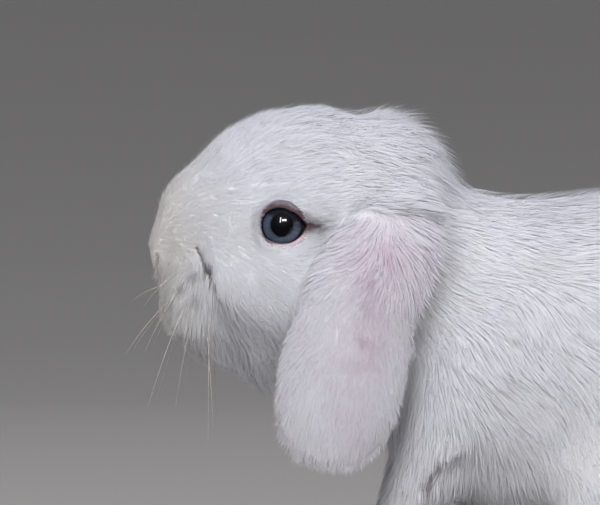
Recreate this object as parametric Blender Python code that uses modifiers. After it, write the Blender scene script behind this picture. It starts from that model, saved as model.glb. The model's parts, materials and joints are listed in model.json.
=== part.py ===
"""Young lop-eared rabbit, crouched on all fours with its nose stretched forward.

The animal is modelled whole, out to the tips of its coat, and parted by thin cuts
into the pieces a person would name. It faces -Y, its left side is +X, and it
stands on z = 0. Every form is an ellipsoid or a chain of ellipsoids with a named
place and size, in millimetres, and the ears are lofted from root to tip.
"""

import math

import bmesh
import bpy
from mathutils import Euler, Matrix, Vector
from mathutils.geometry import intersect_point_line

MM = 0.001

# The top of the head, from which its forms are hung, and the width of a parting cut.
HEAD_HEIGHT = 142.5
GAP = 0.3

# Fineness of the blended body, and how far its hollows are smoothed over.
BODY_VOXEL = 2.0
TORSO_SMOOTHING = 14
HEAD_SMOOTHING = 10
BODY_SMOOTHING = 5
BODY_TRIANGLES = 3750
BALL_FINENESS = 4
EYE_FINENESS = 3
SMOOTH_SHARE = 0.5
SHARP_ANGLE = 40
CUT_TOLERANCE = 1e-6

# The skull's middle, from which the other forms of the head are placed.
SKULL_RADII = (28.5, 39.5, 38.0)
SKULL = Vector((0.0, -63.0, HEAD_HEIGHT - SKULL_RADII[2]))

# Forms of the head, as (offset from the skull, radii).
# A form off the middle plane has a twin on the other side.
HEAD_FORMS = {
    "skull": ((0, 0, 0), SKULL_RADII),
    "crown": ((0, 21, 7.5), (30.5, 23.5, 29.0)),
    "brow": ((11, -8, 5.0), (16.0, 21.0, 17.0)),
    "cheek": ((14, 4, -13.0), (19.5, 26.0, 23.0)),
    "throat": ((0, 0, -22.0), (26.0, 27.0, 24.5)),
    "jowl": ((11.5, -17, -12.0), (15.5, 18.0, 17.0)),
    "bridge": ((0, -26, 3.0), (16.5, 17.0, 20.0)),
    "nose": ((0, -36.0, -3.5), (10.5, 9.5, 12.5)),
    "whisker_pad": ((9.0, -30.6, -18.0), (12.0, 11.5, 13.0)),
    "chin": ((0, -23, -24.0), (14.0, 14.5, 13.0)),
}

# Hollows pressed into both sides of the head, as (place, reach, depth): the fur
# lies low round the eye, and a crease parts the whisker pad from the cheek.
EYE_HOLLOW = ((26, -69.5, 107.3), 13.0, 2.2)
MOUTH_CREASE = ((18, -94, 101), (21, -90, 94), (22, -86, 86), (20, -79, 73))
CREASE_REACH = 3.6
CREASE_DEPTH = 2.4

# The torso and the limbs, as chains of ellipsoids: (centre, radii).
LINK_STEPS = 8
TORSO = (
    ((0, -22, 68), (27, 23, 38)),
    ((0, -4, 70), (37, 31, 46.5)),
    ((0, 24, 69.5), (41, 32, 48.5)),
    ((0, 48, 69.5), (44, 36, 51.5)),
    ((0, 69, 66), (43.5, 33.5, 49)),
)
NAPE = (((0, -34, 100.5), (24, 20, 22.5)), ((0, -8, 88), (29, 24, 28.5)))
FORELEG = (
    ((22, -14, 68), (16, 18, 22)),
    ((23, -23, 52), (13, 13, 14)),
    ((19, -35, 27), (8.0, 7.4, 9)),
    ((18, -38, 12), (7.8, 7.6, 9)),
)
FOREPAW = (((18, -38, 9), (8, 8, 9)), ((18, -46, 6.5), (7.8, 8, 7.2)))
HAUNCH = (
    ((22, 62, 54), (26, 32, 34)),
    ((27, 46, 40), (22, 28, 26)),
    ((30, 26, 31), (17.5, 22, 21)),
)
HINDFOOT = (
    ((31, 72, 10.5), (10.5, 10, 11)),
    ((33, 48, 8.8), (10.2, 10, 9.8)),
    ((35, 22, 7.4), (10.0, 9, 8.4)),
)
TAIL = (
    ((0, 95, 39), (9.5, 8, 9)),
    ((0, 98.4, 51), (11.5, 9.8, 12)),
    ((0, 96.5, 61), (9, 8.5, 9)),
)
# Toes, as (centre, radius, how far the next toe lies to the side), and how far the
# outer toes lie back, as a share of the radius.
FORE_TOE = ((18, -51.5, 5.0), 4.6, 4.2)
HIND_TOE = ((35, 12.5, 5.8), 5.4, 5.2)
TOE_SETBACK = 0.33

# Parting solids, as (centre, half-sizes, pitch in degrees). The thigh and the
# shoulder are parted by oval drums lying along X, the tail by one along Y, and
# the lower limbs by boxes that stop under the body.
DRUM_SIDES = 24
THIGH_DRUM = ((40, 48, 43), (32, 51, 40.5), 22)
SHOULDER_DRUM = ((38, -20, 54), (30, 20.5, 43), -16)
TAIL_DRUM = ((0, 104, 50), (12.5, 16, 23), 0)
FORELEG_BOX = ((30, -36, 15), (27, 26, 17))
HINDFOOT_BOX = ((33, 44, 7), (29.5, 48, 10))

# Parting cuts square to the middle plane, as a point and a normal in (y, z).
NECK_CUT = ((-35, 90.6), (0.906, -0.424))
SHOULDER_CUT = ((-17, 84), (0.906, -0.424))
# Level cuts through the limbs.
WRIST_HEIGHT = 15.0
HOCK_HEIGHT = 16.0

# The eye, set into the side of the head.
EYE_PLACE = Vector((21.2, -68.9, 107.8))
EYE_RADIUS = 7.3

# The ear, from root to tip: (x, y, z, breadth, thickness), and how far its rims
# curl towards the cheek, as a share of its breadth.
EAR_STATIONS = (
    (20, -36, 117, 16, 9.0),
    (28, -36.5, 115.5, 23, 11.0),
    (34, -38, 109, 28, 10.5),
    (37, -43.5, 99, 31, 9.0),
    (37.8, -47.9, 87, 35, 8.2),
    (37.8, -51.6, 72, 40, 7.8),
    (37.2, -54.4, 58, 39.5, 7.4),
    (36.2, -56.6, 48.5, 31, 6.6),
    (35.2, -57.6, 41.4, 18, 5.0),
)
EAR_CURL = 0.10
EAR_SIDES = 8

SURFACES = {
    "fur": ((0.80, 0.80, 0.83), 0.9),
    "ear": ((0.80, 0.75, 0.79), 0.85),
    "eye": ((0.10, 0.14, 0.24), 0.1),
}


def clear_scene():
    """Removes what the startup scene holds."""
    for found in list(bpy.data.objects):
        bpy.data.objects.remove(found)


def collection(name):
    """A new collection, linked to the scene."""
    made = bpy.data.collections.new(name)
    bpy.context.scene.collection.children.link(made)
    return made


def material(name):
    """The Principled material of one kind of surface."""
    colour, roughness = SURFACES[name]
    made = bpy.data.materials.new(name)
    made.use_nodes = True
    shader = made.node_tree.nodes["Principled BSDF"]
    shader.inputs["Base Color"].default_value = (*colour, 1)
    shader.inputs["Roughness"].default_value = roughness
    shader.inputs["Metallic"].default_value = 0
    return made


def new_object(name, bm, home):
    """An object in the collection home that holds what bm holds; frees bm."""
    mesh = bpy.data.meshes.new(name)
    bm.to_mesh(mesh)
    bm.free()
    made = bpy.data.objects.new(name, mesh)
    home.objects.link(made)
    return made


def add_ball(bm, centre, radii, fineness=BALL_FINENESS):
    """Adds an ellipsoid to bm."""
    place = Matrix.Translation(Vector(centre) * MM)
    size = Matrix.Diagonal((*(Vector(radii) * MM), 1))
    bmesh.ops.create_icosphere(
        bm, subdivisions=fineness, radius=1, matrix=place @ size
    )


def add_forms(bm, forms, origin):
    """Adds each form, and its twin where it stands off the middle plane."""
    for centre, radii in forms.values():
        for side in (1, -1) if centre[0] else (1,):
            offset = Vector((centre[0] * side, centre[1], centre[2]))
            add_ball(bm, origin + offset, radii)


def add_chain(bm, joints, side=1):
    """Adds the ellipsoids of a chain, each link passing evenly into the next."""
    for (start, r_start), (end, r_end) in zip(joints, joints[1:]):
        for step in range(LINK_STEPS + 1):
            share = step / LINK_STEPS
            centre = Vector(start).lerp(Vector(end), share)
            centre.x *= side
            radii = Vector(r_start).lerp(Vector(r_end), share)
            add_ball(bm, centre, radii, fineness=BALL_FINENESS - 1)


def add_toes(bm, toe, side):
    """Adds three toes side by side, the middle one foremost."""
    (x, y, z), radius, spacing = toe
    for step in (-1, 0, 1):
        setback = TOE_SETBACK * radius * abs(step)
        centre = ((x + step * spacing) * side, y + setback, z)
        add_ball(bm, centre, (radius,) * 3, fineness=BALL_FINENESS - 1)


def apply_modifiers(made):
    """Puts the evaluated mesh in place of the object's own."""
    bpy.context.view_layer.update()
    graph = bpy.context.evaluated_depsgraph_get()
    mesh = bpy.data.meshes.new_from_object(made.evaluated_get(graph))
    made.modifiers.clear()
    made.data = mesh


def blend(made, smoothing):
    """Joins overlapping shapes into one closed surface, with its hollows smoothed."""
    remesh = made.modifiers.new("join", "REMESH")
    remesh.mode = "VOXEL"
    remesh.voxel_size = BODY_VOXEL * MM
    smooth = made.modifiers.new("smooth", "SMOOTH")
    smooth.factor = SMOOTH_SHARE
    smooth.iterations = smoothing
    apply_modifiers(made)


def thin_out(made, triangles):
    """Reduces a quad mesh to about that many triangles."""
    collapse = made.modifiers.new("thin", "DECIMATE")
    collapse.ratio = triangles / (2 * len(made.data.polygons))
    apply_modifiers(made)


def boolean(made, other, operation):
    """Applies an exact Boolean of made with other."""
    cut = made.modifiers.new(operation.lower(), "BOOLEAN")
    cut.operation = operation
    cut.object = other
    cut.solver = "EXACT"
    apply_modifiers(made)


def copy_of(made, name, home, grow=0.0):
    """A copy with a mesh of its own, its surface moved outwards by grow."""
    bm = bmesh.new()
    bm.from_mesh(made.data)
    bm.normal_update()
    for vert in bm.verts:
        vert.co += vert.normal * vert.calc_shell_factor() * grow * MM
    return new_object(name, bm, home)


def keep_side(made, point, normal):
    """Cuts a closed mesh at a plane and caps it, keeping the side behind normal."""
    bm = bmesh.new()
    bm.from_mesh(made.data)
    bmesh.ops.bisect_plane(
        bm,
        geom=bm.verts[:] + bm.edges[:] + bm.faces[:],
        dist=CUT_TOLERANCE,
        plane_co=Vector(point) * MM,
        plane_no=Vector(normal),
        clear_outer=True,
    )
    rim = [edge for edge in bm.edges if edge.is_boundary]
    bmesh.ops.holes_fill(bm, edges=rim, sides=0)
    bmesh.ops.triangulate(bm, faces=bm.faces[:])
    bmesh.ops.recalc_face_normals(bm, faces=bm.faces[:])
    bm.to_mesh(made.data)
    bm.free()


def split(made, name, point, normal, home):
    """Parts made at a plane: it keeps the side behind normal, a new object the rest."""
    facing = Vector(normal).normalized()
    beyond = copy_of(made, name, home)
    keep_side(made, Vector(point) - facing * GAP / 2, facing)
    keep_side(beyond, Vector(point) + facing * GAP / 2, -facing)
    return beyond


def dent(made, path, reach, depth):
    """Presses a surface in along a path on both sides of the middle plane."""
    bm = bmesh.new()
    bm.from_mesh(made.data)
    bm.normal_update()
    points = [Vector(point) * MM for point in path]
    links = list(zip(points, points[1:])) or [(points[0], points[0])]
    for vert in bm.verts:
        place = Vector((abs(vert.co.x), vert.co.y, vert.co.z))
        nearest = reach * MM
        for start, end in links:
            foot, share = intersect_point_line(place, start, end)
            if start == end:
                foot = start
            elif not 0 <= share <= 1:
                foot = start if share < 0 else end
            nearest = min(nearest, (place - foot).length)
        fall = 1 - (nearest / (reach * MM)) ** 2
        vert.co -= vert.normal * depth * MM * fall * fall
    bm.to_mesh(made.data)
    bm.free()


def drum(name, shape, axis, side, helpers, grow=0.0):
    """An oval drum lying along an axis, with its half-sizes grown all round."""
    (x, y, z), half_sizes, pitch = shape
    bm = bmesh.new()
    place = Matrix.Translation(Vector((x * side, y, z)) * MM)
    turn = Euler((math.radians(pitch), 0, 0)).to_matrix().to_4x4()
    size = Matrix.Diagonal((*((Vector(half_sizes) + Vector((grow,) * 3)) * MM), 1))
    lying = Vector((0, 0, 1)).rotation_difference(Vector(axis)).to_matrix().to_4x4()
    bmesh.ops.create_cone(
        bm,
        cap_ends=True,
        segments=DRUM_SIDES,
        radius1=1,
        radius2=1,
        depth=2,
        matrix=place @ turn @ size @ lying,
    )
    return new_object(name, bm, helpers)


def box(name, shape, side, helpers, grow=0.0):
    """A box with its half-sizes grown all round."""
    (x, y, z), half_sizes = shape
    bm = bmesh.new()
    place = Matrix.Translation(Vector((x * side, y, z)) * MM)
    size = Matrix.Diagonal((*((Vector(half_sizes) + Vector((grow,) * 3)) * MM), 1))
    bmesh.ops.create_cube(bm, size=2, matrix=place @ size)
    return new_object(name, bm, helpers)


def take_out(whole, name, cutter, room, home):
    """Moves what lies inside the cutter from whole into a new object."""
    piece = copy_of(whole, name, home)
    boolean(piece, cutter, "INTERSECT")
    boolean(whole, room, "DIFFERENCE")
    return piece


def leg_cutters(name, oval, low, side, helpers):
    """The solid that parts a leg from the body, and its room with the gap round it."""
    made = []
    for end, grow in (("_cutter", 0), ("_room", GAP)):
        upper = drum(name + end, oval, (1, 0, 0), side, helpers, grow)
        lower = box(name + end + "_low", low, side, helpers, grow)
        boolean(upper, lower, "UNION")
        made.append(upper)
    return made


def make_whole(body, helpers):
    """The rabbit without its ears and eyes, as one smooth body cut at the floor."""
    bm = bmesh.new()
    add_chain(bm, TORSO)
    add_chain(bm, NAPE)
    torso = new_object("torso_mass", bm, helpers)
    blend(torso, TORSO_SMOOTHING)

    bm = bmesh.new()
    add_forms(bm, HEAD_FORMS, SKULL)
    head = new_object("head_mass", bm, helpers)
    blend(head, HEAD_SMOOTHING)
    place, reach, depth = EYE_HOLLOW
    dent(head, (place,), reach, depth)
    dent(head, MOUTH_CREASE, CREASE_REACH, CREASE_DEPTH)

    bm = bmesh.new()
    bm.from_mesh(torso.data)
    bm.from_mesh(head.data)
    for side in (1, -1):
        for limb in (FORELEG, FOREPAW, HAUNCH, HINDFOOT):
            add_chain(bm, limb, side)
        for toe in (FORE_TOE, HIND_TOE):
            add_toes(bm, toe, side)
    add_chain(bm, TAIL)
    whole = new_object("trunk", bm, body)
    blend(whole, BODY_SMOOTHING)
    thin_out(whole, BODY_TRIANGLES)
    keep_side(whole, (0, 0, 0), (0, 0, -1))
    return whole


def ear_ring(station, along, side):
    """The ring of points round one station of the ear."""
    x, y, z, breadth, thickness = station
    across = Vector((0, 1, 0))
    across = (across - along * across.dot(along)).normalized()
    outward = along.cross(across)
    if outward.x < 0:
        outward = -outward
    ring = []
    for step in range(EAR_SIDES):
        angle = 2 * math.pi * step / EAR_SIDES
        reach = math.cos(angle)
        point = Vector((x, y, z)) + across * reach * breadth / 2
        point += outward * (
            math.sin(angle) * thickness / 2 - EAR_CURL * breadth * reach * reach
        )
        ring.append(Vector((point.x * side, point.y, point.z)) * MM)
    return ring


def make_ear(name, side, home):
    """One ear, lofted through its stations and rounded off at both ends."""
    bm = bmesh.new()
    places = [Vector(station[:3]) for station in EAR_STATIONS]
    rings = []
    for index, station in enumerate(EAR_STATIONS):
        before = places[max(index - 1, 0)]
        after = places[min(index + 1, len(places) - 1)]
        ring = ear_ring(station, (after - before).normalized(), side)
        rings.append([bm.verts.new(point) for point in ring])
    for ring in rings:
        for start, end in zip(ring, ring[1:] + ring[:1]):
            bm.edges.new((start, end))
    for first, second in zip(rings, rings[1:]):
        loop = [e for e in bm.edges if all(v in first or v in second for v in e.verts)]
        bmesh.ops.bridge_loops(bm, edges=loop)
    for ring in (rings[0], rings[-1]):
        bmesh.ops.contextual_create(bm, geom=ring)
    bmesh.ops.recalc_face_normals(bm, faces=bm.faces[:])
    made = new_object(name, bm, home)
    smooth = made.modifiers.new("round", "SUBSURF")
    smooth.levels = smooth.render_levels = 1
    apply_modifiers(made)
    return made


def make_eye(name, side, home, grow=0.0):
    """One eyeball, grow larger all round."""
    bm = bmesh.new()
    centre = Vector((EYE_PLACE.x * side, EYE_PLACE.y, EYE_PLACE.z))
    add_ball(bm, centre, (EYE_RADIUS + grow,) * 3, fineness=EYE_FINENESS)
    return new_object(name, bm, home)


def finish(made, surface):
    """Gives a piece its one material and smooth shading."""
    made.data.materials.clear()
    made.data.materials.append(surface)
    made.data.shade_smooth()
    made.data.set_sharp_from_angle(angle=math.radians(SHARP_ANGLE))


def main():
    """Builds the rabbit and parts it."""
    clear_scene()
    body = collection("lop_rabbit")
    helpers = collection("helpers")
    fur = material("fur")
    ear_skin = material("ear")
    eye_surface = material("eye")

    trunk = make_whole(body, helpers)
    around = copy_of(trunk, "whole_room", helpers, GAP)
    furred = [trunk]
    ears = []
    eyes = []
    for side, hand in ((1, "left"), (-1, "right")):
        ear = make_ear("ear_" + hand, side, body)
        boolean(ear, around, "DIFFERENCE")
        ears.append(ear)
        eyes.append(make_eye("eye_" + hand, side, body))
        socket = make_eye("socket_" + hand, side, helpers, GAP)
        boolean(trunk, socket, "DIFFERENCE")
        for name, end_name, cutters, height in (
            ("foreleg_", "forepaw_", (SHOULDER_DRUM, FORELEG_BOX), WRIST_HEIGHT),
            ("thigh_", "hindfoot_", (THIGH_DRUM, HINDFOOT_BOX), HOCK_HEIGHT),
        ):
            cutter, room = leg_cutters(name + hand, *cutters, side, helpers)
            leg = take_out(trunk, name + hand, cutter, room, body)
            foot = split(leg, end_name + hand, (0, 0, height), (0, 0, -1), body)
            furred += [leg, foot]

    cutter = drum("tail_cutter", TAIL_DRUM, (0, 1, 0), 1, helpers)
    room = drum("tail_room", TAIL_DRUM, (0, 1, 0), 1, helpers, GAP)
    furred.append(take_out(trunk, "tail", cutter, room, body))
    for name, (point, normal) in (("neck", SHOULDER_CUT), ("head", NECK_CUT)):
        rest = furred[-1] if name == "head" else trunk
        furred.append(
            split(rest, name, (0, *point), (0, -normal[0], -normal[1]), body)
        )

    for made in furred:
        finish(made, fur)
    for made in ears:
        finish(made, ear_skin)
    for made in eyes:
        finish(made, eye_surface)
    for helper in list(helpers.objects):
        helper.hide_render = True
        helper.display_type = "WIRE"


main()
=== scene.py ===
"""Dresses the young lop rabbit: one skin, a coat of fine locks, eyes, claws and whiskers.

Sizes are in millimetres in the rabbit's classes, and in metres in the studio's and in the
meshes. The rabbit faces -Y, its left side is +X, and it stands on z = 0.
"""

import json
import logging
import math
from dataclasses import dataclass, field
from enum import Enum

import bmesh
import bpy
import numpy as np
from mathutils import Matrix, Vector
from mathutils.bvhtree import BVHTree
from mathutils.kdtree import KDTree

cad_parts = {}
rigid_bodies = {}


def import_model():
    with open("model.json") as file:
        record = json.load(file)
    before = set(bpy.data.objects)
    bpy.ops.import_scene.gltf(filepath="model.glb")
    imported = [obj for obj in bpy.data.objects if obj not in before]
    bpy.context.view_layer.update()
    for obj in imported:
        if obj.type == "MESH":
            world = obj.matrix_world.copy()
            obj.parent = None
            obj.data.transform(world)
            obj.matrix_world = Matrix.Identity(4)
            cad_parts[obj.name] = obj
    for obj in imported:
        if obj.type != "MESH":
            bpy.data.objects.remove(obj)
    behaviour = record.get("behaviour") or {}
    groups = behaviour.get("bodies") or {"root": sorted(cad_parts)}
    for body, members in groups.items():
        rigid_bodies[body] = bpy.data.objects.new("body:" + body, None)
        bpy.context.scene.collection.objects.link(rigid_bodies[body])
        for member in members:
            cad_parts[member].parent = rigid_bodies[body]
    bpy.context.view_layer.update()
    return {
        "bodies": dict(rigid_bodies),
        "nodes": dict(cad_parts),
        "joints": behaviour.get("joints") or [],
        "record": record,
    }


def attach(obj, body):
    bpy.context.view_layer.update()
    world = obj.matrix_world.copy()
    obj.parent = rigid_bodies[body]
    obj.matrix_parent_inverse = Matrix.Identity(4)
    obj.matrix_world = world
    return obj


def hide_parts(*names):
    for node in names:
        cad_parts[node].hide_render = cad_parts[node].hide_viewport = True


MM = 0.001
LOG = logging.getLogger("lop_rabbit")
Triple = tuple[float, float, float]
# a smooth step's two ends: where it is 0, and where it is 1
Fade = tuple[float, float]
# a distance past everything, and the reach of a patch that runs right across an axis
NOWHERE = 1e9
ANY = math.inf
# how far from the midline the whisker pads and the sides of the face begin, in millimetres
PAD_FROM = 6.0
SIDE_FROM = 12.0
# the map that every coat piece and the skin carry
BAKE_MAP = "OFBake"


class Side(Enum):
    """The two sides of the rabbit, with the sign of X on each."""

    LEFT = 1
    RIGHT = -1

    @property
    def tag(self) -> str:
        """The side's name as the pieces carry it."""
        return self.name.lower()


class Hide(Enum):
    """Which lie of the coat a stretch of skin takes."""

    BODY = 0
    EAR = 1


# ---------------------------------------------------------------- shader maths


class Wire:
    """A shader socket that takes part in Python arithmetic."""

    def __init__(self, paint: "Paint", socket: bpy.types.NodeSocket) -> None:
        """Wraps an output socket of a material under construction."""
        self.paint = paint
        self.socket = socket

    def _math(self, operation: str, first: object, second: object) -> "Wire":
        """The result of one Math node on two values or wires."""
        return self.paint.node("ShaderNodeMath", {"operation": operation}, first, second)

    def __add__(self, other: object) -> "Wire":
        """Sum of two values."""
        return self._math("ADD", self, other)

    __radd__ = __add__

    def __sub__(self, other: object) -> "Wire":
        """Difference of two values."""
        return self._math("SUBTRACT", self, other)

    def __rsub__(self, other: object) -> "Wire":
        """Difference with the wire taken away."""
        return self._math("SUBTRACT", other, self)

    def __mul__(self, other: object) -> "Wire":
        """Product of two values."""
        return self._math("MULTIPLY", self, other)

    __rmul__ = __mul__

    def __truediv__(self, other: object) -> "Wire":
        """Quotient of two values."""
        return self._math("DIVIDE", self, other)

    def __pow__(self, other: object) -> "Wire":
        """Power of a value."""
        return self._math("POWER", self, other)

    def smooth(self, low: float, high: float) -> "Wire":
        """A smooth step from 0 at low to 1 at high."""
        settings = {"interpolation_type": "SMOOTHSTEP"}
        return self.paint.node("ShaderNodeMapRange", settings, self, low, high, 0.0, 1.0)


class Paint:
    """Builds one node material."""

    def __init__(self, name: str) -> None:
        """Starts an empty material.

        Args:
            name: The material's name.
        """
        self.material = bpy.data.materials.new(name)
        self.material.use_nodes = True
        self.tree = self.material.node_tree
        self.tree.nodes.clear()

    def node(self, kind: str, settings: dict, *values: object, out: object = 0) -> Wire:
        """Adds a node, sets it, and links or sets its sockets in order.

        Args:
            kind: The node's type.
            settings: Attributes of the node, set first.
            *values: A value or a wire for each input in order; None leaves one alone.
            out: The output's index or name.

        Returns:
            The chosen output as a wire.
        """
        made = self.tree.nodes.new(kind)
        for key, value in settings.items():
            setattr(made, key, value)
        for socket, value in zip(made.inputs, values):
            self.feed(socket, value)
        return Wire(self, made.outputs[out])

    def feed(self, socket: bpy.types.NodeSocket, value: object) -> None:
        """Links a wire to a socket, or sets its value."""
        if isinstance(value, Wire):
            self.tree.links.new(value.socket, socket)
        elif value is not None:
            socket.default_value = value

    def place(self) -> Wire:
        """The Object coordinates."""
        return self.node("ShaderNodeTexCoord", {}, out="Object")

    def mark(self, name: str, out: str = "Fac") -> Wire:
        """A mesh attribute, from the named output of the Attribute node."""
        return self.node("ShaderNodeAttribute", {"attribute_name": name}, out=out)

    def parts(self, vector: Wire) -> list[Wire]:
        """The three numbers of a vector.

        Args:
            vector: The vector or the colour.

        Returns:
            A wire for each number.
        """
        made = self.tree.nodes.new("ShaderNodeSeparateXYZ")
        self.feed(made.inputs[0], vector)
        return [Wire(self, socket) for socket in made.outputs]

    def noise(self, where: Wire, scale: float, detail: float = 2.0) -> Wire:
        """Fractal noise from 0 to 1, with a scale in cells a metre and a detail in octaves."""
        return self.node("ShaderNodeTexNoise", {}, where, None, scale, detail)

    def mix(self, share: object, first: object, second: object) -> Wire:
        """A mix of two colours.

        Args:
            share: 0 for the first colour, 1 for the second.
            first: A colour or a wire.
            second: A colour or a wire.

        Returns:
            The colour as a wire.
        """
        made = self.tree.nodes.new("ShaderNodeMix")
        made.data_type = "RGBA"
        for index, value in ((0, share), (6, first), (7, second)):
            self.feed(made.inputs[index], opaque(value))
        return Wire(self, made.outputs[2])

    def principled(self, **sockets: object) -> Wire:
        """Adds a Principled BSDF with the named sockets set or linked.

        Args:
            **sockets: Socket names with underscores for spaces, and their values.

        Returns:
            The shader as a wire.
        """
        made = self.tree.nodes.new("ShaderNodeBsdfPrincipled")
        for name, value in sockets.items():
            self.feed(made.inputs[name.replace("_", " ")], opaque(value))
        return Wire(self, made.outputs[0])

    def bump(self, height: Wire, strength: float, distance: float) -> Wire:
        """A normal bumped by a height, whose value of 1 is a distance in metres."""
        return self.node("ShaderNodeBump", {}, strength, distance, None, height)

    def finish(self, shader: Wire) -> bpy.types.Material:
        """Joins the shader to the output and gives the material."""
        self.feed(self.tree.nodes.new("ShaderNodeOutputMaterial").inputs[0], shader)
        return self.material


def opaque(value: object) -> object:
    """A colour of three numbers with an alpha of 1; anything else unchanged."""
    if isinstance(value, tuple) and len(value) == 3:
        return (*value, 1.0)
    return value


# ---------------------------------------------------------------- finishes


@dataclass(frozen=True)
class CoatFinish:
    """White plush fur: soft, matt, and lit through at the tips."""

    root: Triple = (0.95, 0.95, 0.975)
    tip: Triple = (0.96, 0.965, 0.997)
    pink: Triple = (0.83, 0.61, 0.77)
    cream: Triple = (0.86, 0.81, 0.68)
    # the dark of the markings, mostly painted shade in folds and hollows
    dusk: Triple = (0.10, 0.078, 0.076)
    # the colour and the share of the light that comes through
    lit_through: Triple = (0.965, 0.97, 0.998)
    through: float = 0.48
    roughness: float = 0.85
    shine: float = 0.15
    # where along a lock the root's colour gives way to the tip's; the slightly darker roots are painted
    # shade deep in the coat
    lighten: Fade = (-0.1, 0.85)
    # faint cream patches, in cells a metre, and how far locks differ from each other
    patch_cells: float = 90.0
    patch_edge: Fade = (0.45, 0.8)
    patch_share: float = 0.1
    uneven: float = 0.16

    def colour(self, paint: Paint, along: Wire) -> Wire:
        """The coat's colour with its markings and its painted shade.

        Args:
            paint: The material under construction.
            along: 0 at the roots and 1 at the tips.

        Returns:
            The colour as a wire.
        """
        pink, cream, dusk = paint.parts(paint.mark("marks", "Vector"))
        patches = paint.noise(paint.place(), self.patch_cells)
        shade = paint.mix(along.smooth(*self.lighten), self.root, self.tip)
        shade = paint.mix((1 - paint.mark("chance")) * self.uneven, shade, self.root)
        shade = paint.mix(patches.smooth(*self.patch_edge) * self.patch_share, shade, self.cream)
        shade = paint.mix(pink, shade, self.pink)
        shade = paint.mix(cream, shade, self.cream)
        return paint.mix(dusk, shade, self.dusk)

    def build(self) -> bpy.types.Material:
        """The fur's material.

        Returns:
            The material.
        """
        paint = Paint("coat_fur")
        colour = self.colour(paint, paint.mark("along"))
        hair = paint.principled(
            Base_Color=colour, Roughness=self.roughness, Specular_IOR_Level=self.shine
        )
        glow = paint.node("ShaderNodeBsdfTranslucent", {}, opaque(self.lit_through))
        return paint.finish(paint.node("ShaderNodeMixShader", {}, self.through, hair, glow))


@dataclass(frozen=True)
class SkinFinish:
    """The skin under the coat, with its lids, and short fur as bump."""

    under: Triple = (0.92, 0.915, 0.94)
    # painted shade on the skin round the eyes
    shadow: Triple = (0.42, 0.38, 0.41)
    flush: Triple = (0.78, 0.55, 0.64)
    lid: Triple = (0.10, 0.052, 0.066)
    rim: Triple = (0.03, 0.02, 0.025)
    roughness: float = 0.8
    # how much smoother the wet rims are
    wet: float = 0.45
    shine: float = 0.3
    # the short fur: its cells in a metre, and its height in metres
    fluff_cells: float = 1400.0
    fluff_edge: Fade = (0.3, 0.7)
    fluff_share: float = 0.5
    fluff_height: float = 0.0004

    def build(self) -> bpy.types.Material:
        """The skin's material.

        Returns:
            The material.
        """
        paint = Paint("skin")
        coat = CoatFinish()
        pink, cream, dusk = paint.parts(paint.mark("marks", "Vector"))
        lid, rim, flush = paint.parts(paint.mark("lids", "Vector"))
        fluff = paint.noise(paint.place(), self.fluff_cells, 3.0)
        shade = paint.mix(fluff.smooth(*self.fluff_edge) * self.fluff_share, self.under, coat.tip)
        for share, colour in (
            (pink, coat.pink),
            (cream, coat.cream),
            (dusk, coat.dusk),
            (paint.mark("shadow"), self.shadow),
            (flush, self.flush),
            (lid, self.lid),
            (rim, self.rim),
        ):
            shade = paint.mix(share, shade, colour)
        skin = paint.principled(
            Base_Color=shade,
            Roughness=self.roughness - rim * self.wet,
            Specular_IOR_Level=self.shine,
            Normal=paint.bump(fluff, 0.5, self.fluff_height),
        )
        return paint.finish(skin)


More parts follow.
